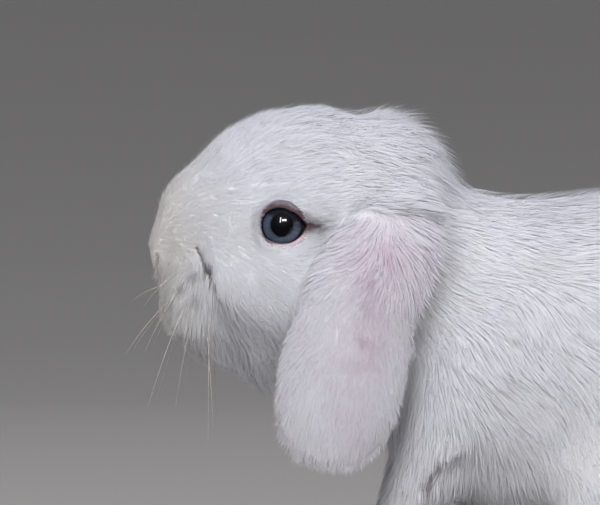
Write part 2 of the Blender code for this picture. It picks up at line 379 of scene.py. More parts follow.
@dataclass(frozen=True)
class EyeFinish:
    """A wet blue-grey eye: dark pupil, streaked iris, dark ring at its edge."""

    # millimetres: the iris's middle (y, z), the pupil's half-sizes and the iris's reach
    centre: tuple[float, float] = (-69.2, 107.8)
    pupil: tuple[float, float] = (3.15, 3.3)
    iris: float = 5.55
    inner: Triple = (0.022, 0.036, 0.058)
    middle: Triple = (0.062, 0.088, 0.135)
    outer: Triple = (0.058, 0.058, 0.105)
    ring: Triple = (0.008, 0.007, 0.013)
    # the white of the eye, painted dark as in the lids' shade
    white: Triple = (0.10, 0.07, 0.08)
    streak: Triple = (0.12, 0.155, 0.215)
    black: Triple = (0.004, 0.004, 0.006)
    # millimetres from the iris's middle over which its colours follow one another
    to_middle: Fade = (3.0, 4.1)
    to_outer: Fade = (4.2, 5.2)
    # how sharp and how strong the pale streaks and the dark flecks are
    streak_edge: Fade = (0.38, 0.66)
    streak_share: float = 0.45
    fleck_edge: Fade = (0.5, 0.75)
    fleck_share: float = 0.3
    # the pupil's soft edge, as a share of its own size squared
    pupil_edge: Fade = (0.88, 1.14)
    # how fine the iris's spokes are, and how little they change along their length
    spokes: float = 5.0
    along_spokes: float = 0.28
    # the upper lid's shadow, painted on the eye
    lid_edge: Fade = (0.1, 2.6)
    lid_lean: float = 0.35
    lid_shade: float = 0.92

    def build(self) -> bpy.types.Material:
        """The eye's material.

        Returns:
            The material.
        """
        paint = Paint("eye")
        _, y, z = paint.parts(paint.place())
        across = y / MM - self.centre[0]
        up = z / MM - self.centre[1]
        far = (across * across + up * up) ** 0.5
        around = across / far * self.spokes, up / far * self.spokes
        spokes = paint.node("ShaderNodeCombineXYZ", {}, *around, far * self.along_spokes)
        streaks = paint.noise(spokes, 2.2, 4.0)
        flecks = paint.noise(spokes, 5.0, 2.0)
        shade = paint.mix(far.smooth(*self.to_middle), self.inner, self.middle)
        shade = paint.mix(far.smooth(*self.to_outer), shade, self.outer)
        shade = paint.mix(streaks.smooth(*self.streak_edge) * self.streak_share, shade, self.streak)
        shade = paint.mix(flecks.smooth(*self.fleck_edge) * self.fleck_share, shade, self.inner)
        shade = paint.mix(far.smooth(self.iris - 0.5, self.iris - 0.05), shade, self.ring)
        shade = paint.mix(far.smooth(self.iris + 0.35, self.iris + 0.9), shade, self.white)
        # the upper lid's shadow, painted as a dark crescent over the iris
        brow = (up + self.lid_lean * across).smooth(*self.lid_edge)
        shade = paint.mix(brow * self.lid_shade, shade, self.ring)
        oval = across / self.pupil[0]
        tall = up / self.pupil[1]
        inside = 1 - (oval * oval + tall * tall).smooth(*self.pupil_edge)
        shade = paint.mix(inside, shade, self.black)
        return paint.finish(
            paint.principled(
                Base_Color=shade,
                Roughness=0.5,
                Specular_IOR_Level=0.1,
                Coat_Weight=1.0,
                Coat_Roughness=0.03,
                IOR=1.38,
            )
        )


@dataclass(frozen=True)
class PlainFinish:
    """A finish of one faintly mottled colour."""

    name: str
    low: Triple
    high: Triple
    roughness: float
    cells: float = 900.0

    def build(self) -> bpy.types.Material:
        """The finish's material.

        Returns:
            The material.
        """
        paint = Paint(self.name)
        grain = paint.noise(paint.place(), self.cells, 3.0)
        shade = paint.mix(grain.smooth(0.3, 0.7), self.low, self.high)
        return paint.finish(
            paint.principled(
                Base_Color=shade,
                Roughness=self.roughness,
                Normal=paint.bump(grain, 0.2, 0.0001),
            )
        )


# ---------------------------------------------------------------- small helpers


def unit(vectors: np.ndarray) -> np.ndarray:
    """The vectors made of length 1."""
    return vectors / np.maximum(np.linalg.norm(vectors, axis=-1, keepdims=True), 1e-12)


def flattened(ways: np.ndarray, normals: np.ndarray) -> np.ndarray:
    """Directions laid flat on the skin and made of length 1."""
    return unit(ways - normals * (ways * normals).sum(1)[:, None])


def step(values: np.ndarray, low: float, high: float) -> np.ndarray:
    """A smooth step from 0 at low to 1 at high."""
    share = np.clip((values - low) / (high - low), 0.0, 1.0)
    return share * share * (3 - 2 * share)


def bell(values: np.ndarray, width: float) -> np.ndarray:
    """1 where the values are 0, falling smoothly to nearly 0 at twice the width."""
    return np.exp(-((values / width) ** 2))


def to_path(points: np.ndarray, path: np.ndarray) -> np.ndarray:
    """Distance from each point to a path.

    Args:
        points: Points in millimetres.
        path: The path's corners.

    Returns:
        The distances in millimetres.
    """
    nearest = np.full(len(points), NOWHERE)
    for start, end in zip(path, path[1:]):
        link = end - start
        share = np.clip((points - start) @ link / (link @ link), 0, 1)
        far = np.linalg.norm(points - start - share[:, None] * link, axis=1)
        nearest = np.minimum(nearest, far)
    return nearest


def waves(points: np.ndarray, length: float, seed: int) -> np.ndarray:
    """Smooth random numbers, mostly from -1 to 1, that vary over a length.

    Args:
        points: Points in millimetres.
        length: The length over which the numbers change, in millimetres.
        seed: Picks the pattern.

    Returns:
        One number for each point.
    """
    chance = np.random.default_rng(seed)
    total = np.zeros(len(points))
    count = 7  # waves in all, each in its own direction
    for _ in range(count):
        way = unit(chance.normal(size=3)) * 2 * math.pi / (length * chance.uniform(0.7, 1.5))
        total += np.sin(points @ way + chance.uniform(0, 2 * math.pi))
    return total / math.sqrt(count)


def mirrored(points: np.ndarray) -> np.ndarray:
    """The points folded to the left side.

    Args:
        points: Places in millimetres.

    Returns:
        Their mirror images where they lie on the right, and themselves elsewhere.
    """
    folded = points.copy()
    folded[:, 0] = np.abs(folded[:, 0])
    return folded


def note(mesh: bpy.types.Mesh, name: str, values: np.ndarray) -> None:
    """Keeps one number, or three, for each vertex of a mesh as an attribute.

    Args:
        mesh: The mesh that gets it.
        name: The attribute's name.
        values: One number or one row of three for each vertex.
    """
    kind, key = ("FLOAT", "value") if values.ndim == 1 else ("FLOAT_VECTOR", "vector")
    made = mesh.attributes.new(name, kind, "POINT")
    made.data.foreach_set(key, values.astype(np.float32).ravel())


def settle(made: bpy.types.Object, finish: bpy.types.Material, slot: str) -> None:
    """Gives a finished piece its material and its body.

    Args:
        made: The piece.
        finish: Its material.
        slot: The record's material slot; not used.
    """
    made.data.materials.clear()
    made.data.materials.append(finish)
    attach(made, "root")


def taper(bm: bmesh.types.BMesh, path: list[Vector], sizes: list[float], sides: int) -> None:
    """Adds a closed round form that follows a path.

    Args:
        bm: The mesh that gets it.
        path: The middle of each ring in millimetres.
        sizes: The radius of each ring in millimetres.
        sides: Corners in a ring.
    """
    ring = bmesh.ops.create_circle(bm, cap_ends=True, segments=sides, radius=1.0)["verts"]
    for index, (place, size) in enumerate(zip(path, sizes)):
        if index:
            edges = list({e for v in ring for e in v.link_edges if e.other_vert(v) in ring})
            grown = bmesh.ops.extrude_edge_only(bm, edges=edges)["geom"]
            fresh = {v for v in grown if isinstance(v, bmesh.types.BMVert)}
            ring = [next(e.other_vert(v) for e in v.link_edges if e.other_vert(v) in fresh) for v in ring]
        ahead = path[min(index + 1, len(path) - 1)] - path[max(index - 1, 0)]
        turn = ahead.to_track_quat("Z", "Y").to_matrix()
        for number, vert in enumerate(ring):
            angle = 2 * math.pi * number / sides
            vert.co = (place + turn @ Vector((math.cos(angle), math.sin(angle), 0)) * size) * MM
    bm.faces.new(ring)


def new_piece(name: str, bm: bmesh.types.BMesh) -> bpy.types.Object:
    """An object that holds what bm holds; frees bm.

    Args:
        name: The piece's name.
        bm: The mesh.

    Returns:
        The object, linked to the scene.
    """
    mesh = bpy.data.meshes.new(name)
    bm.to_mesh(mesh)
    bm.free()
    made = bpy.data.objects.new(name, mesh)
    bpy.context.scene.collection.objects.link(made)
    return made


# ---------------------------------------------------------------- the lie of the coat


@dataclass(frozen=True)
class Whorl:
    """How the coat lies round one place of the left side, with the lift in degrees."""

    at: Triple
    way: Triple
    length: float
    lift: float
    hide: Hide = Hide.BODY


@dataclass(frozen=True)
class LieTable:
    """The coat's direction, length and lift, known at named places and smooth between."""

    # millimetres within which a whorl's own reading holds, and how fast it fades beyond
    reach: float = 9.0
    fade: float = 2.2
    whorls: tuple[Whorl, ...] = (
        # head
        Whorl((0, -107, 99), (0, 0.55, 0.85), 1.8, 18),
        Whorl((9, -106, 92), (0.5, -0.1, -0.8), 3.0, 30),
        Whorl((0, -103, 84), (0.1, -0.4, -1), 5.0, 46),
        Whorl((9, -104, 87), (0.3, -0.7, -0.7), 4.8, 42),
        Whorl((20, -95, 93), (0.3, 0.0, -0.95), 4.0, 22),
        Whorl((14, -99, 86), (0.2, -0.6, -0.8), 4.8, 34),
        Whorl((20, -90, 80), (0.1, 0.25, -1), 7.4, 27),
        Whorl((0, -90, 66), (0, 0.1, -1), 6.6, 46),
        Whorl((11, -92, 70), (0.1, 0, -1), 6.6, 40),
        Whorl((12, -79, 63), (0, 0.2, -1), 8.0, 42),
        Whorl((0, -97, 115), (0, 0.8, 0.6), 3.4, 22),
        Whorl((13, -97, 106), (0.25, 0.95, 0.1), 3.2, 18),
        Whorl((0, -84, 130), (0, 0.9, 0.5), 5.2, 26),
        Whorl((14, -78, 128), (0.1, 0.95, 0.2), 5.0, 24),
        Whorl((0, -55, 142), (0, 1, 0), 7.0, 25),
        Whorl((20, -52, 134), (0.3, 0.9, -0.3), 6.8, 22),
        Whorl((0, -26, 134), (0, 0.95, -0.3), 9.0, 22),
        Whorl((22, -84, 108), (0.2, 0.95, -0.1), 3.0, 15),
        Whorl((22, -70, 121), (0.1, 0.95, 0.25), 4.0, 18),
        Whorl((25, -69, 97), (0.1, 0.95, -0.3), 3.8, 15),
        Whorl((28, -56, 107), (0, 0.98, -0.15), 4.6, 18),
        Whorl((27, -45, 121), (0.4, 0.9, -0.12), 8.0, 22),
        Whorl((32, -42, 113), (0.2, 0.97, -0.1), 8.0, 20),
        Whorl((32, -30, 112), (0, 0.97, -0.25), 9.0, 18),
        Whorl((24, -32, 126), (0.2, 0.9, -0.3), 9.5, 20),
        Whorl((26, -76, 84), (0.1, 0.7, -0.75), 5.6, 20),
        Whorl((27, -56, 76), (0, 0.6, -0.8), 7.2, 20),
        Whorl((12, -68, 61), (0, 0.3, -0.9), 9.0, 36),
        Whorl((0, -50, 66), (0, 0.3, -0.95), 10.0, 20),
        # neck and body
        Whorl((0, -46, 45), (0, -0.45, -0.9), 12.0, 32),
        Whorl((30, -30, 100), (0.1, 0.85, -0.55), 8.5, 18),
        Whorl((37, -12, 78), (0, 0.7, -0.75), 10.5, 16),
        Whorl((0, 0, 118), (0, 1, -0.05), 9.5, 17),
        Whorl((24, 10, 110), (0.1, 0.95, -0.3), 9.5, 15),
        Whorl((0, 45, 121), (0, 1, 0), 9.5, 16),
        Whorl((26, 50, 111), (0.1, 0.92, -0.4), 9.5, 15),
        Whorl((0, 88, 103), (0, 0.75, -0.65), 9.5, 17),
        Whorl((43, 22, 76), (0, 0.8, -0.6), 10.5, 14),
        Whorl((40, 14, 42), (0, 0.55, -0.85), 11.5, 15),
        Whorl((46, 50, 66), (0, 0.75, -0.65), 9.5, 14),
        Whorl((46, 50, 32), (0, 0.75, -0.65), 8.5, 15),
        Whorl((30, 92, 60), (0, 0.55, -0.85), 9.0, 16),
        Whorl((0, 20, 22), (0, 1, 0), 8.0, 14),
        # legs, feet and tail
        Whorl((28, -34, 52), (0, 0.1, -1), 8.5, 17),
        Whorl((24, -38, 26), (0, -0.05, -1), 5.6, 19),
        Whorl((18, -50, 12), (0, -0.75, -0.65), 3.4, 19),
        Whorl((18, -42, 1), (0, -1, 0), 2.0, 10),
        Whorl((31, 36, 14), (0, -0.95, -0.3), 4.4, 19),
        Whorl((31, 12, 9), (0, -0.95, -0.3), 3.4, 18),
        Whorl((31, 45, 1), (0, -1, 0), 2.0, 10),
        Whorl((31, 80, 9), (0, 0.4, -0.9), 5.0, 20),
        Whorl((0, 104, 66), (0, 0.7, 0.7), 8.0, 36),
        Whorl((0, 106, 40), (0, 0.9, -0.4), 8.0, 36),
        # ears
        Whorl((24, -30, 118), (0.5, 0.8, -0.35), 7.5, 20, Hide.EAR),
        Whorl((34, -45, 109), (0.3, -0.8, -0.45), 6.0, 18, Hide.EAR),
        Whorl((37, -34, 105), (0.1, 0.85, -0.5), 8.6, 26, Hide.EAR),
        Whorl((39, -33, 97), (0, 0.72, -0.7), 9.0, 25, Hide.EAR),
        Whorl((39, -43, 96), (0, -0.5, -0.85), 5.6, 18, Hide.EAR),
        Whorl((38, -53, 99), (0, -0.97, -0.22), 5.6, 17, Hide.EAR),
        Whorl((42, -66, 82), (0, -0.6, -0.8), 4.8, 17, Hide.EAR),
        Whorl((42, -34, 80), (0, 0.35, -0.9), 5.0, 20, Hide.EAR),
        Whorl((41, -66, 60), (0, -0.35, -0.9), 4.6, 17, Hide.EAR),
        Whorl((41, -40, 58), (0, 0.2, -0.98), 4.8, 19, Hide.EAR),
        Whorl((36, -56, 42), (0, -0.05, -1), 4.6, 20, Hide.EAR),
        Whorl((33, -52, 80), (0, 0, -1), 3.0, 15, Hide.EAR),
    )

    def read(self, points: np.ndarray, ears: np.ndarray) -> tuple[np.ndarray, ...]:
        """Reads the table at points.

        Args:
            points: Places in millimetres.
            ears: How far each place belongs to an ear, 0 to 1.

        Returns:
            The directions, lengths in millimetres, and lifts in radians.
        """
        folded = mirrored(points)
        way = np.zeros((len(points), 3))
        length = np.zeros(len(points))
        lift = np.zeros(len(points))
        total = np.zeros(len(points))
        for whorl in self.whorls:
            gap = folded - np.array(whorl.at)
            near = (gap * gap).sum(1) + self.reach**2
            share = 1 / near**self.fade
            share *= ears if whorl.hide is Hide.EAR else 1 - ears
            way += share[:, None] * unit(np.array(whorl.way, float))
            length += share * whorl.length
            lift += share * math.radians(whorl.lift)
            total += share
        way[:, 0] *= np.where(points[:, 0] < 0, -1, 1)
        return unit(way), length / total, lift / total


# ---------------------------------------------------------------- the eyes' openings


@dataclass
class EyeOpening:
    """The lids' opening round the eyeball, as seen along X, for the left eye."""

    centre: tuple[float, float] = (-68.9, 107.6)
    ball: Triple = (21.2, -68.9, 107.8)
    radius: float = 7.3
    # the opening's half-width at angles in degrees from the back corner, over the top
    rim: tuple[tuple[float, float], ...] = (
        (0, 6.3), (20, 5.2), (42, 4.7), (62, 4.3), (88, 4.6), (109, 4.95),
        (132, 5.4), (152, 5.75), (186, 5.85), (213, 5.7), (230, 5.25), (250, 4.85),
        (276, 4.75), (299, 4.95), (320, 5.2), (341, 5.65),
    )

    def distance(self, points: np.ndarray) -> tuple[np.ndarray, np.ndarray]:
        """How far places lie from the opening's centre, where 1 is its rim.

        Args:
            points: Places in millimetres, folded to the left side.

        Returns:
            The distances as shares of the opening, and the angles in radians.
        """
        across = points[:, 1] - self.centre[0]
        up = points[:, 2] - self.centre[1]
        turn = np.degrees(np.arctan2(up, across)) % 360
        angles, sizes = zip(*self.rim, (360, self.rim[0][1]))
        size = np.interp(turn, angles, sizes)
        return np.hypot(across, up) / size, np.radians(turn)

    def ball_face(self, points: np.ndarray, grow: float) -> np.ndarray:
        """X of the eyeball's outer face, grown, at places, and of its middle off its edge.

        Args:
            points: Places in millimetres, folded to the left side.
            grow: Added to the ball's radius.

        Returns:
            X in millimetres.
        """
        flat = ((points[:, 1:] - self.ball[1:]) ** 2).sum(1)
        return self.ball[0] + np.sqrt(np.maximum((self.radius + grow) ** 2 - flat, 0))


# ---------------------------------------------------------------- markings


class View(Enum):
    """How the corners of a line are given: the axes they hold."""

    SIDE = (1, 2)
    FRONT = (0, 2)
    SPACE = (0, 1, 2)


@dataclass(frozen=True)
class Stroke:
    """A line on the left side: its corners, its tint, and the fold pressed under it."""

    path: tuple[tuple[float, ...], ...]
    view: View = View.SIDE
    tint: float = 0.0
    width: float = 1.0
    fold: float = 0.0
    fold_width: float = 1.0
    # a side view's line isn't near the midline, and a front view's isn't behind the muzzle
    far_off: float = 40.0
    midline: Fade = (-5.5, -2.5)
    muzzle_end: Fade = (-94.0, -90.0)

    def distance(self, points: np.ndarray) -> np.ndarray:
        """Distance to the line as it lies in its view.

        Args:
            points: Places in millimetres, folded to the left side.

        Returns:
            The distances in millimetres.
        """
        axes = list(self.view.value)
        corners = np.zeros((len(self.path), 3))
        corners[:, axes] = self.path
        flat = np.zeros_like(points)
        flat[:, axes] = points[:, axes]
        away = to_path(flat, corners)
        if self.view is View.SIDE:
            away += self.far_off * step(-points[:, 0], *self.midline)
        elif self.view is View.FRONT:
            away += self.far_off * step(points[:, 1], *self.muzzle_end)
        return away

    def shade(self, points: np.ndarray) -> np.ndarray:
        """The tint at places, greatest on the line."""
        return self.tint * bell(self.distance(points), self.width)

    def press(self, points: np.ndarray) -> np.ndarray:
        """The fold's depth at places, greatest on the line."""
        return self.fold * bell(self.distance(points), self.fold_width)

    def room(self, points: np.ndarray, way: np.ndarray) -> np.ndarray:
        """How long a hair can grow before it crosses the line, seen from the side.

        Args:
            points: The hairs' roots in millimetres, folded to the left side.
            way: The hairs' directions.

        Returns:
            The lengths in millimetres, long where nothing is in the way.
        """
        nearest = np.full(len(points), NOWHERE)
        room = np.full(len(points), NOWHERE)
        for start, end in zip(self.path[:-1], self.path[1:]):
            start, link = np.array(start), np.subtract(end, start)
            share = np.clip((points[:, 1:] - start) @ link / (link @ link), 0, 1)
            gap = start + share[:, None] * link - points[:, 1:]
            far = np.maximum(np.linalg.norm(gap, axis=1), 1e-6)
            nearer = (far < nearest) & (points[:, 0] > PAD_FROM)
            nearest[nearer] = far[nearer]
            facing = np.maximum((gap * way[:, 1:]).sum(1) / far, 1e-3)
            room[nearer] = (np.maximum(far, 0.5) / facing)[nearer]
        return room


@dataclass(frozen=True)
class Blot:
    """A soft oval patch on the left side: its middle, its reach on each axis, its tint."""

    at: Triple
    reach: Triple
    tint: float

    def shade(self, points: np.ndarray) -> np.ndarray:
        """The tint at places, greatest in the middle."""
        return self.tint * bell(np.linalg.norm((points - self.at) / self.reach, axis=1), 1.0)


@dataclass(frozen=True)
class Ring:
    """A soft band round the eye: its place and width as shares of the opening, its tint."""

    at: float
    width: float
    tint: float

    def shade(self, far: np.ndarray) -> np.ndarray:
        """The tint at distances from the opening's centre."""
        return self.tint * bell(far - self.at, self.width)


@dataclass(frozen=True)
class Markings:
    """Where the coat and the skin turn pink or cream, and where they are darkened, mostly with painted
    shade; all on the left side.
    """

    opening: EyeOpening
    # the muzzle: the dark tints of its crease, lip, nostrils, cleft, mouth and corner are painted shade
    # in the folds pressed into the skin
    crease: Stroke = Stroke(
        ((-93.2, 101.4), (-89.8, 95.4), (-88.4, 91.4), (-85.4, 86.2)),
        tint=1.0,
        width=0.42,
        fold=0.8,
        fold_width=0.55,
    )
    # how dark the crease's painted shade is at its lower end, how much darker at its upper, and between
    # where
    crease_dark: tuple[float, float] = (0.8, 0.6)
    crease_rise: Fade = (90.0, 95.0)
    lip: Stroke = Stroke(
        ((-87.6, 86.6), (-86.0, 83.0), (-83.0, 78.0), (-80.0, 73.0)),
        tint=0.2,
        width=1.8,
        fold=0.5,
        fold_width=1.4,
    )
    nostril: Stroke = Stroke(
        ((0.9, 94.4), (2.7, 96.2), (4.6, 97.6), (5.3, 99.0)),
        View.FRONT,
        tint=1.0,
        width=0.6,
        fold=1.3,
        fold_width=0.7,
    )
    cleft: Stroke = Stroke(
        ((0.0, 94.2), (0.0, 82.0)), View.FRONT, tint=0.5, width=0.45, fold=1.3, fold_width=0.8
    )
    mouth: Stroke = Stroke(
        ((0.0, 82.0), (4.5, 79.4), (10.0, 78.0), (15.0, 78.6)),
        View.FRONT,
        tint=0.45,
        width=0.7,
        fold=1.4,
        fold_width=1.1,
    )
    # how much paler the mouth's tint is at its end, and over what stretch
    mouth_end: float = 0.7
    mouth_fade: Fade = (3.0, 9.0)
    # the corner's dark tint is painted shade in the mouth's hollow
    # the mouth's dark corner: (y, z), its height for its length, the x where it starts,
    # its tint with a width, and its fold
    corner: tuple[float, float] = (-89.9, 95.4)
    corner_tall: float = 1.35
    corner_from: float = 8.0
    corner_tint: float = 1.8
    corner_width: float = 1.05
    corner_fold: float = 1.5
    # the bare skin between the nostrils, wider upwards
    nose_line: Stroke = Stroke(((0.0, 94.2), (0.0, 98.0)), View.FRONT)
    nose_rise: float = 4.0
    nose_widens: float = 0.6
    nose_edge: Fade = (0.3, 1.0)
    nose_pink: float = 0.75
    nose_flush: Blot = Blot((0, -108, 97), (7, 7, 7), 0.2)
    whisker_roots: tuple[tuple[float, float], ...] = (
        (-93.7, 94.4),
        (-97.2, 91.2),
        (-92.8, 89.1),
        (-99.9, 87.5),
        (-96.0, 86.0),
    )
    root_reach: Triple = (ANY, 1.3, 0.7)
    root_tint: float = 0.7
    # the eye: the dark patches at its back corner and behind it are painted shade
    eye_corner: Blot = Blot((0, -62.2, 107.2), (ANY, 2.7, 1.7), 1.0)
    shade_behind_eye: Blot = Blot((0, -58.8, 106.4), (ANY, 4.4, 5.0), 0.42)
    rim_flush: Ring = Ring(1.15, 0.1, 0.3)
    brow: Ring = Ring(1.24, 0.12, 0.5)
    brow_flush: Ring = Ring(1.24, 0.12, 0.3)
    before_eye: Ring = Ring(1.5, 0.25, 0.1)
    # the eye's upper and front halves, as sines and cosines
    above: Fade = (0.0, 0.6)
    before: Fade = (0.0, 0.8)
    # the ear: the dark lines along its front edge, in its folds and in the fur's parting over its root
    # are painted shade
    ear_from: float = 24.0
    ear_base_pink: float = 0.12
    # lengths over which the pink changes slowly, and the skin's fine crumples
    blush_length: float = 16.0
    crumple_length: float = 3.5
    ear_lines: tuple[Stroke, ...] = (
        Stroke(((41, -37, 102), (42, -42, 90), (42, -46, 74)), View.SPACE, tint=0.3, width=6.0),
        Stroke(((42, -48, 74), (42, -50, 62), (41, -47, 52)), View.SPACE, tint=0.14, width=6.0),
    )
    ear_patch: Blot = Blot((40, -40, 101), (10, 8, 9), 0.46)
    ear_front: Stroke = Stroke(((-56.5, 104.0), (-51.5, 110.0), (-43.5, 119.0)), tint=0.2, width=1.0)
    ear_fold: Stroke = Stroke(
        ((-39.0, 99.0), (-44.5, 92.0), (-46.0, 84.0), (-48.5, 72.0)), tint=0.14, width=0.9
    )
    parting: Stroke = Stroke(((-41.0, 111.4), (-35.0, 111.2), (-29.0, 110.4)), tint=0.4, width=0.7)
    # the body, and the fold behind the shoulder's fringe
    # the muzzle's cream is partly the fur's own tint and partly painted reflection of yellow light
    muzzle_cream_and_reflection: float = 0.4
    muzzle_ahead: Fade = (84.0, 105.0)
    belly_cream: float = 0.12
    belly_below: Fade = (-60.0, -20.0)
    flank_cream: Blot = Blot((44, 40, 78), (8, 8, 8), 0.2)
    # painted shade under the jaw
    chin_dusk: float = 0.1
    chin_below: Fade = (-84.0, -70.0)
    chin_ahead: Fade = (52.0, 66.0)
    elbow: Stroke = Stroke(((-12.0, 49.0), (-25.0, 43.0), (-29.5, 37.5), (-30.5, 28.0)))
    # how ragged the fringe's edge is, over what length, and where the fold behind it ends
    elbow_ragged: float = 0.8
    elbow_tufts: float = 2.4
    elbow_side: Fade = (12.0, 18.0)
    elbow_top: Fade = (40.0, 50.0)
    elbow_reach: Fade = (6.0, 12.0)
    # the painted shade there, and its widths behind the edge and before it
    elbow_dusk: float = 0.7
    elbow_widths: tuple[float, float] = (1.7, 0.5)
    elbow_fold: float = 1.8

    def under_arm(self, points: np.ndarray) -> tuple[np.ndarray, np.ndarray]:
        """How far places lie behind the ragged edge of the shoulder's fringe.

        Args:
            points: Places in millimetres, folded to the left side.

        Returns:
            The distances, below 0 on the fringe itself, and how deep the fold is there.
        """
        y, z = np.array(self.elbow.path[::-1]).T
        side = np.where(points[:, 1] > np.interp(points[:, 2], z, y), 1, -1)
        ragged = self.elbow_ragged * waves(points, self.elbow_tufts, 9)
        far = side * self.elbow.distance(points) + ragged
        depth = step(points[:, 0], *self.elbow_side) * (1 - step(points[:, 2], *self.elbow_top))
        return far, depth * (1 - step(np.abs(far), *self.elbow_reach))

    def spot(self, points: np.ndarray) -> np.ndarray:
        """Distance from the mouth's dark corner, seen from the side, in millimetres."""
        away = np.linalg.norm((points[:, 1:] - self.corner) / (1.0, self.corner_tall), axis=1)
        return away + self.crease.far_off * (points[:, 0] < self.corner_from)

    def nose(self, points: np.ndarray) -> np.ndarray:
        """1 on the bare skin between the nostrils and 0 off it.

        Args:
            points: Places in millimetres, folded to the left side.

        Returns:
            The shares.
        """
        rise = np.clip(points[:, 2] - self.nose_line.path[0][1], 0, self.nose_rise)
        away = self.nose_line.distance(points) - self.nose_widens * rise
        return 1 - step(away, *self.nose_edge)

    def pinks(self, points: np.ndarray, ears: np.ndarray, crumple: np.ndarray) -> np.ndarray:
        """How pink places are: the ear's thin skin, the eye's rim and the nose.

        Args:
            points: Places in millimetres, folded to the left side.
            ears: How far each place belongs to an ear.
            crumple: Fine uneven shares.

        Returns:
            The shares, some past 1.
        """
        far, turn = self.opening.distance(points)
        side = points[:, 0] > SIDE_FROM
        blush = 0.5 + 0.5 * waves(points, self.blush_length, 5)
        pink = ears * (self.ear_base_pink + self.ear_patch.shade(points))
        for line in self.ear_lines:
            pink += ears * line.shade(points)
        pink *= (0.6 + 0.4 * blush) * (0.55 + 0.9 * crumple)
        pink += (1 - ears) * (side * self.rim_flush.shade(far) + self.nose_flush.shade(points))
        pink += self.nose_pink * self.nose(points)
        return pink + self.brow_flush.shade(far) * step(np.sin(turn), *self.above) * side

    def creams(self, points: np.ndarray, ears: np.ndarray) -> np.ndarray:
        """How cream places are: the muzzle, partly as painted reflection, the belly and a patch of the
        flank.

        Args:
            points: Places in millimetres, folded to the left side.
            ears: How far each place belongs to an ear.

        Returns:
            The shares.
        """
        cream = self.muzzle_cream_and_reflection * step(-points[:, 1], *self.muzzle_ahead)
        cream += self.belly_cream * step(-points[:, 2], *self.belly_below)
        return (1 - ears) * cream + self.flank_cream.shade(points)

    def darks_and_shades(self, points: np.ndarray, ears: np.ndarray, crumple: np.ndarray) -> np.ndarray:
        """How dark places are: painted shade in folds, hollows and the fur's parting, under the jaw and
        round the eye, and the whiskers' dark roots.

        Args:
            points: Places in millimetres, folded to the left side.
            ears: How far each place belongs to an ear.
            crumple: Fine uneven shares.

        Returns:
            The shares, some past 1.
        """
        far, turn = self.opening.distance(points)
        side, high = points[:, 0] > SIDE_FROM, points[:, 0] > self.ear_from
        low, more = self.crease_dark
        dusk = (low + more * step(points[:, 2], *self.crease_rise)) * self.crease.shade(points)
        dusk += self.corner_tint * bell(self.spot(points), self.corner_width)
        for line in (self.lip, self.nostril, self.cleft):
            dusk += line.shade(points)
        outside = self.mouth_end * step(points[:, 0], *self.mouth_fade)
        dusk += self.mouth.shade(points) * (1 - outside)
        chin = step(-points[:, 2], *self.chin_below) * step(-points[:, 1], *self.chin_ahead)
        dusk += self.chin_dusk * chin
        for root in self.whisker_roots:
            pore = Blot((0, *root), self.root_reach, self.root_tint)
            dusk += pore.shade(points) * (points[:, 0] > PAD_FROM)
        dusk += self.eye_corner.shade(points) * side
        dusk += self.shade_behind_eye.shade(points) * side * (0.6 + 0.45 * waves(points, 1.8, 6))
        dusk += self.brow.shade(far) * step(np.sin(turn), *self.above) * side
        dusk += self.before_eye.shade(far) * step(-np.cos(turn), *self.before) * side
        dusk += self.ear_front.shade(points) * side
        under, depth = self.under_arm(points)
        behind, before = self.elbow_widths
        fold = bell(np.where(under > 0, under / behind, under / before), 1.0)
        dusk += self.elbow_dusk * depth * fold
        dusk *= 1 - ears
        dusk += self.parting.shade(points) * high
        return dusk + self.ear_fold.shade(points) * ears * crumple * high

    def read(self, points: np.ndarray, ears: np.ndarray) -> np.ndarray:
        """The marks at points.

        Args:
            points: Places in millimetres.
            ears: How far each place belongs to an ear.

        Returns:
            Pink, cream, and dark with painted shade, from 0 to 1 for each place.
        """
        folded = mirrored(points)
        crumple = 0.5 + 0.5 * waves(folded, self.crumple_length, 7)
        marks = (
            self.pinks(folded, ears, crumple),
            self.creams(folded, ears),
            self.darks_and_shades(folded, ears, crumple),
        )
        return np.clip(np.column_stack(marks), 0, 1)


# ---------------------------------------------------------------- skin


@dataclass(frozen=True)
class LidShape:
    """The lids' form: gaps from the eyeball in millimetres, places as shares of the opening."""

    tuck: float = -1.6
    lower_gap: float = 0.5
    upper_gap: float = 0.4
    clear: float = 0.35
    melt: tuple[float, float] = (0.05, 1.6)
    melt_zone: Fade = (1.15, 1.5)
    # where the lid ends and the face begins, and how much further out on the upper lid
    face: Fade = (1.05, 1.9)
    face_upper: float = 0.1
    ridge: Ring = Ring(1.12, 0.1, 0.2)
    rim: Fade = (0.97, 1.04)
    reach: float = 2.6
    # the upper lid, as a sine, and the front of the eye, as a cosine, with its share of shade
    upper: Fade = (-0.1, 0.5)
    front: Fade = (0.2, 0.9)
    front_shade: float = 0.55
    # where the lid's dark fades, and how much further out in full shade; the least dark
    dark: Fade = (1.0, 1.1)
    dark_more: Fade = (0.16, 0.42)
    least_dark: float = 0.3
    edge: Fade = (1.02, 1.1)
    # degrees from the back corner of the dark corner and of the pink below it, and widths
    corner: tuple[float, float] = (-2.0, 20.0)
    flush_from: tuple[float, float] = (-46.0, 22.0)
    # the pink of the lower rim: its band, its least strength and how much stronger it gets
    flush: Ring = Ring(1.13, 0.08, 1.0)
    flush_share: tuple[float, float] = (0.25, 0.55)


